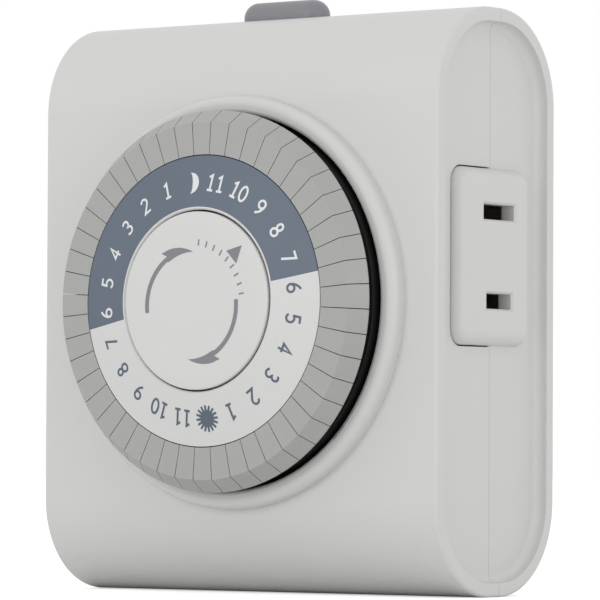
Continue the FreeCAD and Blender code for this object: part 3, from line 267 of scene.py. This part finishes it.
def printed_ring(looks, prints):
    """White ABS, its night half screen printed in blue grey but for a white margin at the inner edge."""
    made, tree = shader("screen_printed_abs")
    coords = add(tree, "ShaderNodeTexCoord").outputs["Object"]
    turned = add(tree, "ShaderNodeMapping", {"vector_type": "TEXTURE", "Location": DIAL,
                                             "Rotation": (0, -prints.night_tilt, 0)}, {"Vector": coords})
    split = add(tree, "ShaderNodeSeparateXYZ", links={"Vector": turned.outputs["Vector"]})
    upper = add(tree, "ShaderNodeMath", {"operation": "GREATER_THAN", 1: 0.0}, {0: split.outputs["Z"]})
    across = add(tree, "ShaderNodeVectorMath", {"operation": "MULTIPLY", 1: (1, 0, 1)},
                 {0: turned.outputs["Vector"]})
    reach = add(tree, "ShaderNodeVectorMath", {"operation": "LENGTH"}, {0: across.outputs["Vector"]})
    outside = add(tree, "ShaderNodeMath", {"operation": "GREATER_THAN", 1: prints.ring_margin},
                  {0: reach.outputs["Value"]})
    night = add(tree, "ShaderNodeMath", {"operation": "MULTIPLY"},
                {0: upper.outputs["Value"], 1: outside.outputs["Value"]})
    paper, patches = varied(tree, looks.dial, 0.012, 7.0, coords)
    printed, _ = varied(tree, looks.night_ink, 0.03, 3.0, coords)
    tone = add(tree, "ShaderNodeMix", {"data_type": "RGBA"},
               {0: night.outputs["Value"], 6: paper, 7: printed}).outputs[2]
    body = add(tree, "ShaderNodeBsdfPrincipled", {"IOR": 1.5},
               {"Base Color": tone, "Roughness": rough_range(tree, patches, 0.36, 0.42),
                "Normal": grain(tree, 0.25, 0.002, coords)})
    close(tree, body.outputs["BSDF"])
    return made


def ink(name, base):
    """Screen printing ink: thin, even, with a faint fine grain."""
    made, tree = shader(name)
    coords = add(tree, "ShaderNodeTexCoord").outputs["Object"]
    tone, patches = varied(tree, base, 0.03, 0.8, coords)
    body = add(tree, "ShaderNodeBsdfPrincipled", {"IOR": 1.5},
               {"Base Color": tone, "Roughness": rough_range(tree, patches, 0.38, 0.46),
                "Normal": grain(tree, 0.2, 0.002, coords)})
    close(tree, body.outputs["BSDF"])
    return made


def wear(node, material):
    """Give a CAD node its finish in every material slot."""
    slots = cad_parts[node].material_slots
    if not slots:
        raise RuntimeError("%s has no material slot" % node)
    for slot in slots:
        slot.material = material


# Flat prints

def flat_piece(name, outlines):
    """A flat mesh facing -Y from closed outlines of (x, z) points, all at Y 0."""
    form = bmesh.new()
    for points in outlines:
        form.faces.new([form.verts.new((x, 0, z)) for x, z in points])
    form.normal_update()
    bmesh.ops.triangulate(form, faces=form.faces)
    form.normal_update()
    turned = [f for f in form.faces if f.normal.y > 0]
    bmesh.ops.reverse_faces(form, faces=turned)
    mesh = bpy.data.meshes.new(name)
    form.to_mesh(mesh)
    form.free()
    made = bpy.data.objects.new(name, mesh)
    bpy.context.scene.collection.objects.link(made)
    return made


def bow(x, z, wide, high, start, end):
    """Points along an arc of an ellipse, angles in degrees."""
    turns = [math.radians(start + (end - start) * i / ARC_STEPS) for i in range(ARC_STEPS + 1)]
    return [(x + wide * math.cos(t), z + high * math.sin(t)) for t in turns]


def pen_paths(digit):
    """The strokes of a digit in a box one unit high; a nine is a six turned upside down."""
    if digit == "9":
        return [[(DIGIT_WIDE - x, 1 - z) for x, z in path] for path in pen_paths("6")]
    return {
        "0": [bow(0.3, 0.5, 0.24, 0.44, 0, 360)],
        "1": [[(0.12, 0.8), (0.33, 0.94), (0.33, 0.06)], [(0.13, 0.06), (0.53, 0.06)]],
        "2": [bow(0.28, 0.7, 0.22, 0.24, 165, -35) + [(0.07, 0.06), (0.54, 0.06)]],
        "3": [bow(0.27, 0.72, 0.2, 0.22, 150, -80) + bow(0.27, 0.28, 0.24, 0.22, 80, -150)],
        "4": [[(0.41, 0.02), (0.41, 0.92), (0.06, 0.3), (0.58, 0.3)]],
        "5": [[(0.5, 0.94), (0.14, 0.94), (0.11, 0.55)] + bow(0.27, 0.32, 0.24, 0.26, 125, -150)],
        "6": [bow(0.3, 0.29, 0.23, 0.23, 0, 360), bow(0.66, 0.29, 0.59, 0.69, 180, 114)],
        "7": [[(0.06, 0.94), (0.52, 0.94), (0.22, 0.02)]],
        "8": [bow(0.3, 0.73, 0.18, 0.21, 0, 360), bow(0.3, 0.28, 0.23, 0.22, 0, 360)],
    }[digit]


def ribbon(path, width):
    """A stroke of even width along a path, as four-cornered pieces that share their corners."""
    spots = [Vector(point) for point in path]
    closed = (spots[0] - spots[-1]).length < 1e-6
    sides = []
    for i, spot in enumerate(spots):
        before = spots[i - 1] if i else (spots[-2] if closed else spot)
        after = spots[i + 1] if i + 1 < len(spots) else (spots[1] if closed else spot)
        into = (spot - before).normalized() if before != spot else (after - spot).normalized()
        out = (after - spot).normalized() if after != spot else into
        normals = [Vector((-d.y, d.x)) for d in (into, out)]
        middle = (normals[0] + normals[1]).normalized()
        reach = width / 2 / max(MITRE_LEAST, middle.dot(normals[0]))
        sides.append((spot + middle * reach, spot - middle * reach))
    return [[a[0], a[1], b[1], b[0]] for a, b in zip(sides, sides[1:])]


def number_outline(name, text, height, stroke):
    """A number as a flat mesh in the XZ plane, its middle at the origin, strokes laid one over another."""
    half = (DIGIT_PITCH * (len(text) - 1) + DIGIT_WIDE) / 2
    made = bmesh.new()
    level = 0
    for place, digit in enumerate(text):
        for path in pen_paths(digit):
            level -= STROKE_LIFT
            laid = [((x + DIGIT_PITCH * place - half) * height, (z - 0.5) * height) for x, z in path]
            for corners in ribbon(laid, stroke):
                made.faces.new([made.verts.new((x, level, z)) for x, z in corners])
    bmesh.ops.remove_doubles(made, verts=made.verts, dist=STROKE_WELD)
    made.normal_update()
    bmesh.ops.reverse_faces(made, faces=[f for f in made.faces if f.normal.y > 0])
    mesh = bpy.data.meshes.new(name)
    made.to_mesh(mesh)
    made.free()
    return mesh


def moon_outline(size):
    """A crescent open to the left: a wide oval outside and a narrow one inside, both to the same tips."""
    tip, steps = 97, 24
    outer_wide = 0.95
    inner_wide, inner_high, inner_left = 0.3, 0.985, 0.08
    outer = [(size * math.cos(t) * outer_wide, size * math.sin(t))
             for t in [math.radians(-tip + 2 * tip * i / steps) for i in range(steps + 1)]]
    inner = [(size * (math.cos(t) * inner_wide - inner_left), size * math.sin(t) * inner_high)
             for t in [math.radians(tip - 2 * tip * i / steps) for i in range(1, steps)]]
    return outer + inner


def sun_outline(size, rays):
    """A round sun with rays that narrow outwards, as one outline."""
    core, root = 0.62 * size, 0.1 * size
    end = root * 0.8
    points = []
    for k in range(rays):
        turn = 2 * math.pi * k / rays
        for reach, side in ((core, -root), (size, -end), (size, end), (core, root)):
            points.append((reach * math.sin(turn) + side * math.cos(turn),
                           reach * math.cos(turn) - side * math.sin(turn)))
    return points


def copies_tree():
    """Geometry nodes: copies of a collection's members, in order, turned about the dial's axis."""
    tree = bpy.data.node_groups.new("turned_copies", "GeometryNodeTree")
    face = tree.interface
    face.new_socket("Members", in_out="INPUT", socket_type="NodeSocketCollection")
    face.new_socket("Count", in_out="INPUT", socket_type="NodeSocketInt")
    face.new_socket("First Angle", in_out="INPUT", socket_type="NodeSocketFloat")
    face.new_socket("Step", in_out="INPUT", socket_type="NodeSocketFloat")
    face.new_socket("Centre", in_out="INPUT", socket_type="NodeSocketVector")
    face.new_socket("Ground Radius", in_out="INPUT", socket_type="NodeSocketFloat")
    face.new_socket("Ground Slope", in_out="INPUT", socket_type="NodeSocketFloat")
    face.new_socket("Finish", in_out="INPUT", socket_type="NodeSocketMaterial")
    face.new_socket("Geometry", in_out="OUTPUT", socket_type="NodeSocketGeometry")
    given = add(tree, "NodeGroupInput").outputs
    points = add(tree, "GeometryNodePoints", links={"Count": given["Count"], "Position": given["Centre"]})
    members = add(tree, "GeometryNodeCollectionInfo", {"Separate Children": True, "Reset Children": True},
                  {"Collection": given["Members"]})
    index = add(tree, "GeometryNodeInputIndex").outputs["Index"]
    turn = add(tree, "ShaderNodeMath", {"operation": "MULTIPLY_ADD"},
               {0: index, 1: given["Step"], 2: given["First Angle"]})
    about = add(tree, "FunctionNodeAxisAngleToRotation", {"Axis": (0, 1, 0)},
                {"Angle": turn.outputs["Value"]})
    spread = add(tree, "GeometryNodeInstanceOnPoints", {"Pick Instance": True},
                 {"Points": points.outputs[0], "Instance": members.outputs["Instances"],
                  "Instance Index": index, "Rotation": about.outputs["Rotation"]})
    real = add(tree, "GeometryNodeRealizeInstances", links={"Geometry": spread.outputs["Instances"]})
    # The ground is a cone about the axis: each point sinks by the slope times its distance beyond a radius.
    away = add(tree, "ShaderNodeVectorMath", {"operation": "SUBTRACT"},
               {0: add(tree, "GeometryNodeInputPosition").outputs["Position"], 1: given["Centre"]})
    flat = add(tree, "ShaderNodeVectorMath", {"operation": "MULTIPLY", 1: (1, 0, 1)},
               {0: away.outputs["Vector"]})
    reach = add(tree, "ShaderNodeVectorMath", {"operation": "LENGTH"}, {0: flat.outputs["Vector"]})
    beyond = add(tree, "ShaderNodeMath", {"operation": "SUBTRACT"},
                 {0: reach.outputs["Value"], 1: given["Ground Radius"]})
    sink = add(tree, "ShaderNodeMath", {"operation": "MULTIPLY"},
               {0: beyond.outputs["Value"], 1: given["Ground Slope"]})
    shift = add(tree, "ShaderNodeCombineXYZ", links={"Y": sink.outputs["Value"]})
    laid = add(tree, "GeometryNodeSetPosition",
               links={"Geometry": real.outputs["Geometry"], "Offset": shift.outputs["Vector"]})
    coated = add(tree, "GeometryNodeSetMaterial",
                 links={"Geometry": laid.outputs["Geometry"], "Material": given["Finish"]})
    add(tree, "NodeGroupOutput", links={"Geometry": coated.outputs["Geometry"]})
    return tree


def turned_copies(name, members, count, first, step, centre, material, ground=(0.0, 0.0)):
    """Run the copies tree over some meshes; ground is the cone's highest radius and its slope."""
    tree = bpy.data.node_groups.get("turned_copies") or copies_tree()
    group = bpy.data.collections.new(name + "_members")
    bpy.context.scene.collection.children.link(group)
    holders = []
    for k, mesh in enumerate(members):
        holder = bpy.data.objects.new("%s_member_%02d" % (name, k), mesh)
        group.objects.link(holder)
        holders.append(holder)
    source = bpy.data.objects.new(name + "_source", bpy.data.meshes.new(name + "_source"))
    bpy.context.scene.collection.objects.link(source)
    modifier = source.modifiers.new("Copies", "NODES")
    modifier.node_group = tree
    values = {"Members": group, "Count": count, "First Angle": first, "Step": step,
              "Centre": centre, "Ground Radius": ground[0], "Ground Slope": ground[1], "Finish": material}
    for item in tree.interface.items_tree:
        if item.in_out == "INPUT":
            modifier[item.identifier] = values[item.name]
    source.update_tag()
    bpy.context.view_layer.update()
    mesh = bpy.data.meshes.new_from_object(source.evaluated_get(bpy.context.evaluated_depsgraph_get()))
    source.modifiers.remove(modifier)
    for holder in holders + [source]:
        bpy.data.objects.remove(holder)
    bpy.data.collections.remove(group)
    if not mesh.polygons:
        raise RuntimeError("%s came out empty" % name)
    mesh.name = name
    made = bpy.data.objects.new(name, mesh)
    bpy.context.scene.collection.objects.link(made)
    return made


def mesh_of(piece):
    """Take the mesh out of a helper object and remove the object."""
    mesh = piece.data
    bpy.data.objects.remove(piece)
    return mesh


# Operators

class TIMER_OT_camera(bpy.types.Operator):
    """Put the camera where the photograph was taken from"""
    bl_idname = "timer.camera"
    bl_label = "Camera"

    def execute(self, context):
        view = context.scene.timer_view
        az, el, roll = view.azimuth, view.elevation, view.roll
        back = Vector((math.sin(az) * math.cos(el), -math.cos(az) * math.cos(el), math.sin(el)))
        right = Vector((math.cos(az), math.sin(az), 0))
        down = (-back).cross(right)
        across = right * math.cos(roll) - down * math.sin(roll)
        drop = right * math.sin(roll) + down * math.cos(roll)
        front = Vector((0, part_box("front_shell")[0][1] + BEZEL_RISE, DIAL.z))
        place = front + right * view.right + Vector((0, 0, view.up)) + back * view.distance
        lens = bpy.data.cameras.new("photo_camera")
        lens.lens = view.lens
        lens.sensor_width = 36
        lens.clip_start = 0.01
        camera = bpy.data.objects.new("photo_camera", lens)
        rows = Matrix((across, -drop, back)).transposed()
        camera.matrix_world = Matrix.Translation(place) @ rows.to_4x4()
        context.scene.collection.objects.link(camera)
        context.scene.camera = camera
        return {"FINISHED"}


class TIMER_OT_stage(bpy.types.Operator):
    """Lay the pale floor and set the soft studio light"""
    bl_idname = "timer.stage"
    bl_label = "Stage"

    def execute(self, context):
        self.floor(context)
        context.scene.view_settings.view_transform = "Standard"
        self.light_world(context)
        for name, (place, size, power) in LAMPS.items():
            self.lamp(context, name, place, size, power)
        return {"FINISHED"}

    def floor(self, context):
        """A pale floor under the object; to the camera it glows a little, so it reads as white."""
        made, tree = shader("pale_floor_paint")
        seen = add(tree, "ShaderNodeLightPath").outputs
        matt = add(tree, "ShaderNodeBsdfDiffuse", {"Color": linear("#F4F4F4")})
        glow = add(tree, "ShaderNodeEmission", {"Strength": FLOOR_GLOW})
        both = add(tree, "ShaderNodeAddShader", links={0: matt.outputs[0], 1: glow.outputs[0]})
        plain = add(tree, "ShaderNodeBsdfDiffuse", {"Color": linear("#F7F7F7")})
        pick = add(tree, "ShaderNodeMixShader", links={0: seen["Is Camera Ray"], 1: plain.outputs[0],
                                                       2: both.outputs[0]})
        close(tree, pick.outputs[0])
        low = min(corner[2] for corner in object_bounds())
        form = bmesh.new()
        form.faces.new([form.verts.new((x * FLOOR_HALF, y * FLOOR_HALF, low))
                        for x, y in ((-1, -1), (1, -1), (1, 1), (-1, 1))])
        mesh = bpy.data.meshes.new("floor")
        form.to_mesh(mesh)
        form.free()
        floor = bpy.data.objects.new("floor", mesh)
        floor.data.materials.append(made)
        context.scene.collection.objects.link(floor)
        floor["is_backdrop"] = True

    def light_world(self, context):
        """White surroundings that light the object plainly and show as white behind it."""
        world = bpy.data.worlds.new("studio")
        world.use_nodes = True
        tree = world.node_tree
        tree.nodes.clear()
        seen = add(tree, "ShaderNodeLightPath").outputs
        first = add(tree, "ShaderNodeMath", {"operation": "MAXIMUM"},
                    {0: seen["Is Camera Ray"], 1: seen["Is Transmission Ray"]})
        both = add(tree, "ShaderNodeMath", {"operation": "MAXIMUM"},
                   {0: first.outputs[0], 1: seen["Is Glossy Ray"]})
        level = add(tree, "ShaderNodeMapRange", {"To Min": ROOM_LIGHT, "To Max": 1.0},
                    {"Value": both.outputs[0]})
        light = add(tree, "ShaderNodeBackground", {"Color": (1, 1, 1, 1)},
                    {"Strength": level.outputs["Result"]})
        add(tree, "ShaderNodeOutputWorld", links={"Surface": light.outputs[0]})
        context.scene.world = world

    def lamp(self, context, name, place, size, power):
        """A square soft lamp that faces the dial."""
        data = bpy.data.lights.new(name, "AREA")
        data.size = size
        data.energy = power
        made = bpy.data.objects.new(name, data)
        aim = (DIAL - Vector(place)).to_track_quat("-Z", "Y")
        made.matrix_world = Matrix.Translation(place) @ aim.to_matrix().to_4x4()
        context.scene.collection.objects.link(made)


class TIMER_OT_case(bpy.types.Operator):
    """Finish the two shells"""
    bl_idname = "timer.case"
    bl_label = "Case"

    def execute(self, context):
        # Satin moulded ABS: the mould's grain breaks up the reflections without showing itself.
        white = moulded("satin_moulded_abs", context.scene.timer_colours.case, 0.42, 1.53, 0.35, 0.004)
        for node in ("front_shell", "rear_shell"):
            wear(node, white)
        return {"FINISHED"}


class TIMER_OT_dial(bpy.types.Operator):
    """Finish the wheel, the printed ring and the trippers"""
    bl_idname = "timer.dial"
    bl_label = "Dial"

    def execute(self, context):
        looks, prints = context.scene.timer_colours, context.scene.timer_print
        # Near black and dull: the wheel's colour is painted shade, a dark surface that keeps the gap round
        # the dial dark.
        wear("dial_wheel", moulded("wheel_painted_shade_black", looks.wheel, 0.5, 1.53, 0.3, 0.004))
        wear("number_ring", printed_ring(looks, prints))
        # Acetal lets a little light in, which softens the edges of the trippers.
        grey = moulded("grey_moulded_acetal", looks.trippers, 0.38, 1.48, 0.3, 0.003, see_through=0.15)
        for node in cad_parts:
            if node.startswith("trippers_hour"):
                wear(node, grey)
        return {"FINISHED"}


class TIMER_OT_numbers(bpy.types.Operator):
    """Print the hours, the moon and the sun on the ring"""
    bl_idname = "timer.numbers"
    bl_label = "Hour numbers"

    def execute(self, context):
        looks, prints = context.scene.timer_colours, context.scene.timer_print
        half = prints.hours
        step = math.pi / half
        signs = {"night": flat_piece("moon", [moon_outline(MOON_SHARE * prints.number_height)]),
                 "day": flat_piece("sun", [sun_outline(SUN_SHARE * prints.number_height, SUN_RAYS)])}
        # Clockwise from the boundary: half the hours down to one, the sign, and the others down.
        texts = [str(n) for n in range(half // 2, 0, -1)]
        texts += [""] + [str(n) for n in range(half - 1, half // 2, -1)]
        for k, (name, base) in enumerate((("night", looks.white_ink), ("day", looks.print_ink))):
            members = []
            for text in texts:
                mesh = (number_outline("number_" + text, text, prints.number_height, prints.stroke) if text
                        else mesh_of(signs[name]))
                mesh.transform(Matrix.Translation((0, 0, prints.number_radius)))
                members.append(mesh)
            centre = Vector((0, RING_FACE - prints.ink_height, DIAL.z))
            piece = turned_copies("hours_" + name, members, half, prints.first_angle + math.pi * k, step,
                                  centre, ink(name + "_screen_ink", base),
                                  (prints.ring_inner, math.tan(prints.ring_slope)))
            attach(piece, "dial")
        return {"FINISHED"}


class TIMER_OT_disc(bpy.types.Operator):
    """Turn the centre disc and print its arrows, pointer and ticks"""
    bl_idname = "timer.disc"
    bl_label = "Centre disc"

    def execute(self, context):
        looks, prints = context.scene.timer_colours, context.scene.timer_print
        disc = self.turned_disc(prints)
        disc.data.materials.append(moulded("gloss_moulded_abs", looks.dial, 0.34, 1.53, 0.3, 0.003))
        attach(disc, "case")
        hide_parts("centre_disc")
        grey = ink("arrow_screen_ink", looks.arrow_ink)
        middle = Vector((-MARK_SHIFT, DISC_FACE, DIAL.z - MARK_SHIFT))
        arrows = [self.arrow(prints.arrow_radius, prints.arrow_width, *turns) for turns in ARROW_TURNS]
        marks = flat_piece("disc_arrows", arrows + [POINTER])
        marks.data.transform(Matrix.Translation(middle))
        marks.data.materials.append(grey)
        near, far = prints.tick_radius, prints.tick_radius + prints.tick_length
        tick = flat_piece("tick", [[(-TICK_HALF, near), (TICK_HALF, near),
                                    (TICK_HALF, far), (-TICK_HALF, far)]])
        row = turned_copies("disc_ticks", [mesh_of(tick)], prints.ticks, TICK_FIRST, TICK_STEP,
                            middle, grey)
        for piece in (marks, row):
            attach(piece, "case")
        return {"FINISHED"}

    def arrow(self, radius, width, start, neck, tip):
        """A round arrow that runs clockwise from start over its neck to its tip, angles in degrees."""
        def at(r, turn):
            return (r * math.cos(math.radians(turn)), r * math.sin(math.radians(turn)))
        shaft_steps, head_steps = 20, 8
        # The barb stands out behind the neck; the crown falls from it to the tip, the underside rises.
        barb_back, barb_out = 4, 0.155
        crown_high, crown_fall, crown_curve = 1.15, 0.19, 1.5
        under_low, under_rise = 0.935, 0.025
        shaft = [start + (neck - start) * i / shaft_steps for i in range(shaft_steps + 1)]
        head = [neck + (tip - neck) * i / head_steps for i in range(head_steps + 1)]
        back = neck + barb_back
        outer = [at(radius + width / 2, t) for t in shaft]
        barb = [at(radius + barb_out * radius, back)]
        crown = [at(radius * (crown_high - crown_fall * ((back - t) / (back - tip)) ** crown_curve), t)
                 for t in head[1:]]
        under = [at(radius * (under_low + under_rise * (neck - t) / (neck - tip)), t)
                 for t in reversed(head[:-1])]
        inner = [at(radius - width / 2, t) for t in reversed(shaft[:-1])]
        return outer + barb + crown + under + inner

    def turned_disc(self, prints):
        """The disc as a turned form: flat, with a soft edge, open behind."""
        low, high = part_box("centre_disc")
        radius, deep = (high[0] - low[0]) / 2, high[1] - low[1]
        face = low[1] + prints.ink_height
        edge_steps, face_rings = 6, (0.3, 0.6, 0.8)
        profile = [(0, face)]
        profile += [(radius * k, face) for k in face_rings]
        profile += [(radius - DISC_EDGE + DISC_EDGE * math.sin(t), face + DISC_EDGE - DISC_EDGE * math.cos(t))
                    for t in [math.radians(90 * i / edge_steps) for i in range(edge_steps + 1)]]
        profile += [(radius, low[1] + deep), (radius - DISC_WALL, low[1] + deep),
                    (radius - DISC_WALL, low[1] + DISC_WALL), (0, low[1] + DISC_WALL)]
        form = bmesh.new()
        rings = []
        for r, y in profile:
            turns = [2 * math.pi * k / DISC_TURNS for k in range(DISC_TURNS if r > 0 else 1)]
            rings.append([form.verts.new((r * math.cos(t), y, DIAL.z + r * math.sin(t))) for t in turns])
        for a, b in zip(rings, rings[1:]):
            for k in range(DISC_TURNS):
                corners = [a[k % len(a)], a[(k + 1) % len(a)], b[(k + 1) % len(b)], b[k % len(b)]]
                form.faces.new(list(dict.fromkeys(corners)))
        bmesh.ops.recalc_face_normals(form, faces=form.faces)
        mesh = bpy.data.meshes.new("disc")
        form.to_mesh(mesh)
        form.free()
        mesh.shade_smooth()
        made = bpy.data.objects.new("disc", mesh)
        bpy.context.scene.collection.objects.link(made)
        return made


class TIMER_OT_button(bpy.types.Operator):
    """Finish the override button and what it works"""
    bl_idname = "timer.button"
    bl_label = "Button and switch"

    def execute(self, context):
        # Grey ABS with the same grain as the case, a little glossier than it.
        grey = context.scene.timer_colours.button
        wear("override_button", moulded("grey_moulded_abs", grey, 0.38, 1.53, 0.35, 0.004))
        # Uncoloured acetal lets some light in.
        wear("switch_slide", moulded("natural_acetal_slide", linear("#E6E2D6"), 0.4, 1.48, 0.3, 0.003,
                                     see_through=0.2))
        # Music wire, drawn: dark steel with lines along the wire.
        self.spring(drawn_metal("drawn_music_wire", linear("#8C8E92"), 0.3, 0.12, 0.002, (1, 1, 6)))
        return {"FINISHED"}

    def spring(self, wire):
        """The coil spring as a copy of the CAD part in drawn wire, the CAD part itself hidden."""
        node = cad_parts["button_spring"]
        made = bpy.data.objects.new("spring", node.data.copy())
        made.matrix_world = node.matrix_world
        made.data.materials.clear()
        made.data.materials.append(wire)
        bpy.context.scene.collection.objects.link(made)
        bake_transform(made)
        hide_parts("button_spring")


class TIMER_OT_mains(bpy.types.Operator):
    """Finish the blades, the bars, the contacts and the leads"""
    bl_idname = "timer.mains"
    bl_label = "Mains path"

    def execute(self, context):
        # Rolled brass strip with a thin bright nickel plate.
        plate = drawn_metal("nickel_plated_brass", linear("#CFCBC2"), 0.28, 0.15, 0.002, (1, 0.12, 1))
        brass = drawn_metal("rolled_brass", linear("#D0A85C"), 0.34, 0.15, 0.002, (1, 1, 0.12))
        # Spring bronze is redder than brass.
        bronze = drawn_metal("spring_bronze", linear("#C08A5A"), 0.32, 0.15, 0.002, (0.12, 1, 1))
        silver = drawn_metal("silver_contact_alloy", linear("#DAD9D6"), 0.3, 0.1, 0.002, (1, 1, 1))
        finishes = {"neutral_blade": plate, "line_blade": plate, "neutral_bar": brass, "line_bar": brass,
                    "fixed_arm": brass, "arm_rivet": brass, "arm_foot": bronze, "moving_arm": bronze,
                    "outlet_neutral_contact": bronze, "outlet_line_contact": bronze,
                    "fixed_rivet": silver, "moving_rivet": silver}
        for node, material in finishes.items():
            wear(node, material)
        # Smooth extruded vinyl on the leads.
        wear("motor_leads", moulded("extruded_vinyl", linear("#C9C8BE"), 0.3, 1.53, 0.5, 0.002))
        return {"FINISHED"}


class TIMER_OT_mechanism(bpy.types.Operator):
    """Finish the plate, the motor, the gears and the screws"""
    bl_idname = "timer.mechanism"
    bl_label = "Mechanism"

    def execute(self, context):
        # Zinc plated sheet steel: cool grey, with rolling lines.
        zinc = drawn_metal("zinc_plated_steel", linear("#AEB2B8"), 0.38, 0.2, 0.003, (1, 1, 0.1))
        turned = drawn_metal("turned_steel", linear("#B4B6BA"), 0.25, 0.1, 0.002, (1, 8, 1))
        copper = drawn_metal("enamelled_copper_wire", linear("#9C5A34"), 0.3, 0.2, 0.01, (0.2, 6, 0.2))
        natural = moulded("natural_acetal", linear("#E6E2D6"), 0.4, 1.48, 0.3, 0.003, see_through=0.2)
        finishes = {"mechanism_plate": zinc, "motor_can": zinc, "motor_cover": zinc,
                    "case_screws": zinc, "plate_screws": zinc, "motor_screws": zinc,
                    "dial_spindle": turned, "gear_arbors": turned, "clutch_spring": turned,
                    "motor_coil": copper, "clutch_gear": natural, "clutch_pinion": natural,
                    "first_gear": natural}
        for node, material in finishes.items():
            wear(node, material)
        wear("motor_pinion", drawn_metal("turned_brass", linear("#CDA75E"), 0.27, 0.1, 0.002, (1, 8, 1)))
        # Sintered ferrite: near black, with a coarse grain.
        wear("motor_rotor", moulded("sintered_ferrite", linear("#2A2A2C"), 0.5, 1.8, 0.2, 0.006))
        return {"FINISHED"}


STEPS = (TIMER_OT_camera, TIMER_OT_case, TIMER_OT_dial, TIMER_OT_numbers, TIMER_OT_disc,
         TIMER_OT_button, TIMER_OT_mains, TIMER_OT_mechanism, TIMER_OT_stage)


class TIMER_PT_panel(bpy.types.Panel):
    """Lists the steps and the values of the timer switch"""
    bl_idname = "TIMER_PT_panel"
    bl_label = "Timer switch"
    bl_space_type = "VIEW_3D"
    bl_region_type = "UI"
    bl_category = "Timer"

    def draw(self, context):
        for step in STEPS:
            self.layout.operator(step.bl_idname)
        for group in GROUPS:
            values = getattr(context.scene, group)
            column = self.layout.column()
            for name in values.bl_rna.properties.keys():
                if name not in ("rna_type", "name"):
                    column.prop(values, name)


GROUPS = {"timer_colours": TimerColours, "timer_print": TimerPrint, "timer_view": TimerView}


def register():
    for kind in (*GROUPS.values(), *STEPS, TIMER_PT_panel):
        bpy.utils.register_class(kind)
    for name, kind in GROUPS.items():
        setattr(bpy.types.Scene, name, PointerProperty(type=kind))


def unregister():
    for name in GROUPS:
        delattr(bpy.types.Scene, name)
    for kind in (TIMER_PT_panel, *reversed(STEPS), *reversed(GROUPS.values())):
        bpy.utils.unregister_class(kind)


def main():
    register()
    for step in STEPS:
        group, name = step.bl_idname.split(".")
        getattr(getattr(bpy.ops, group), name)()


if __name__ == "__main__":
    main()
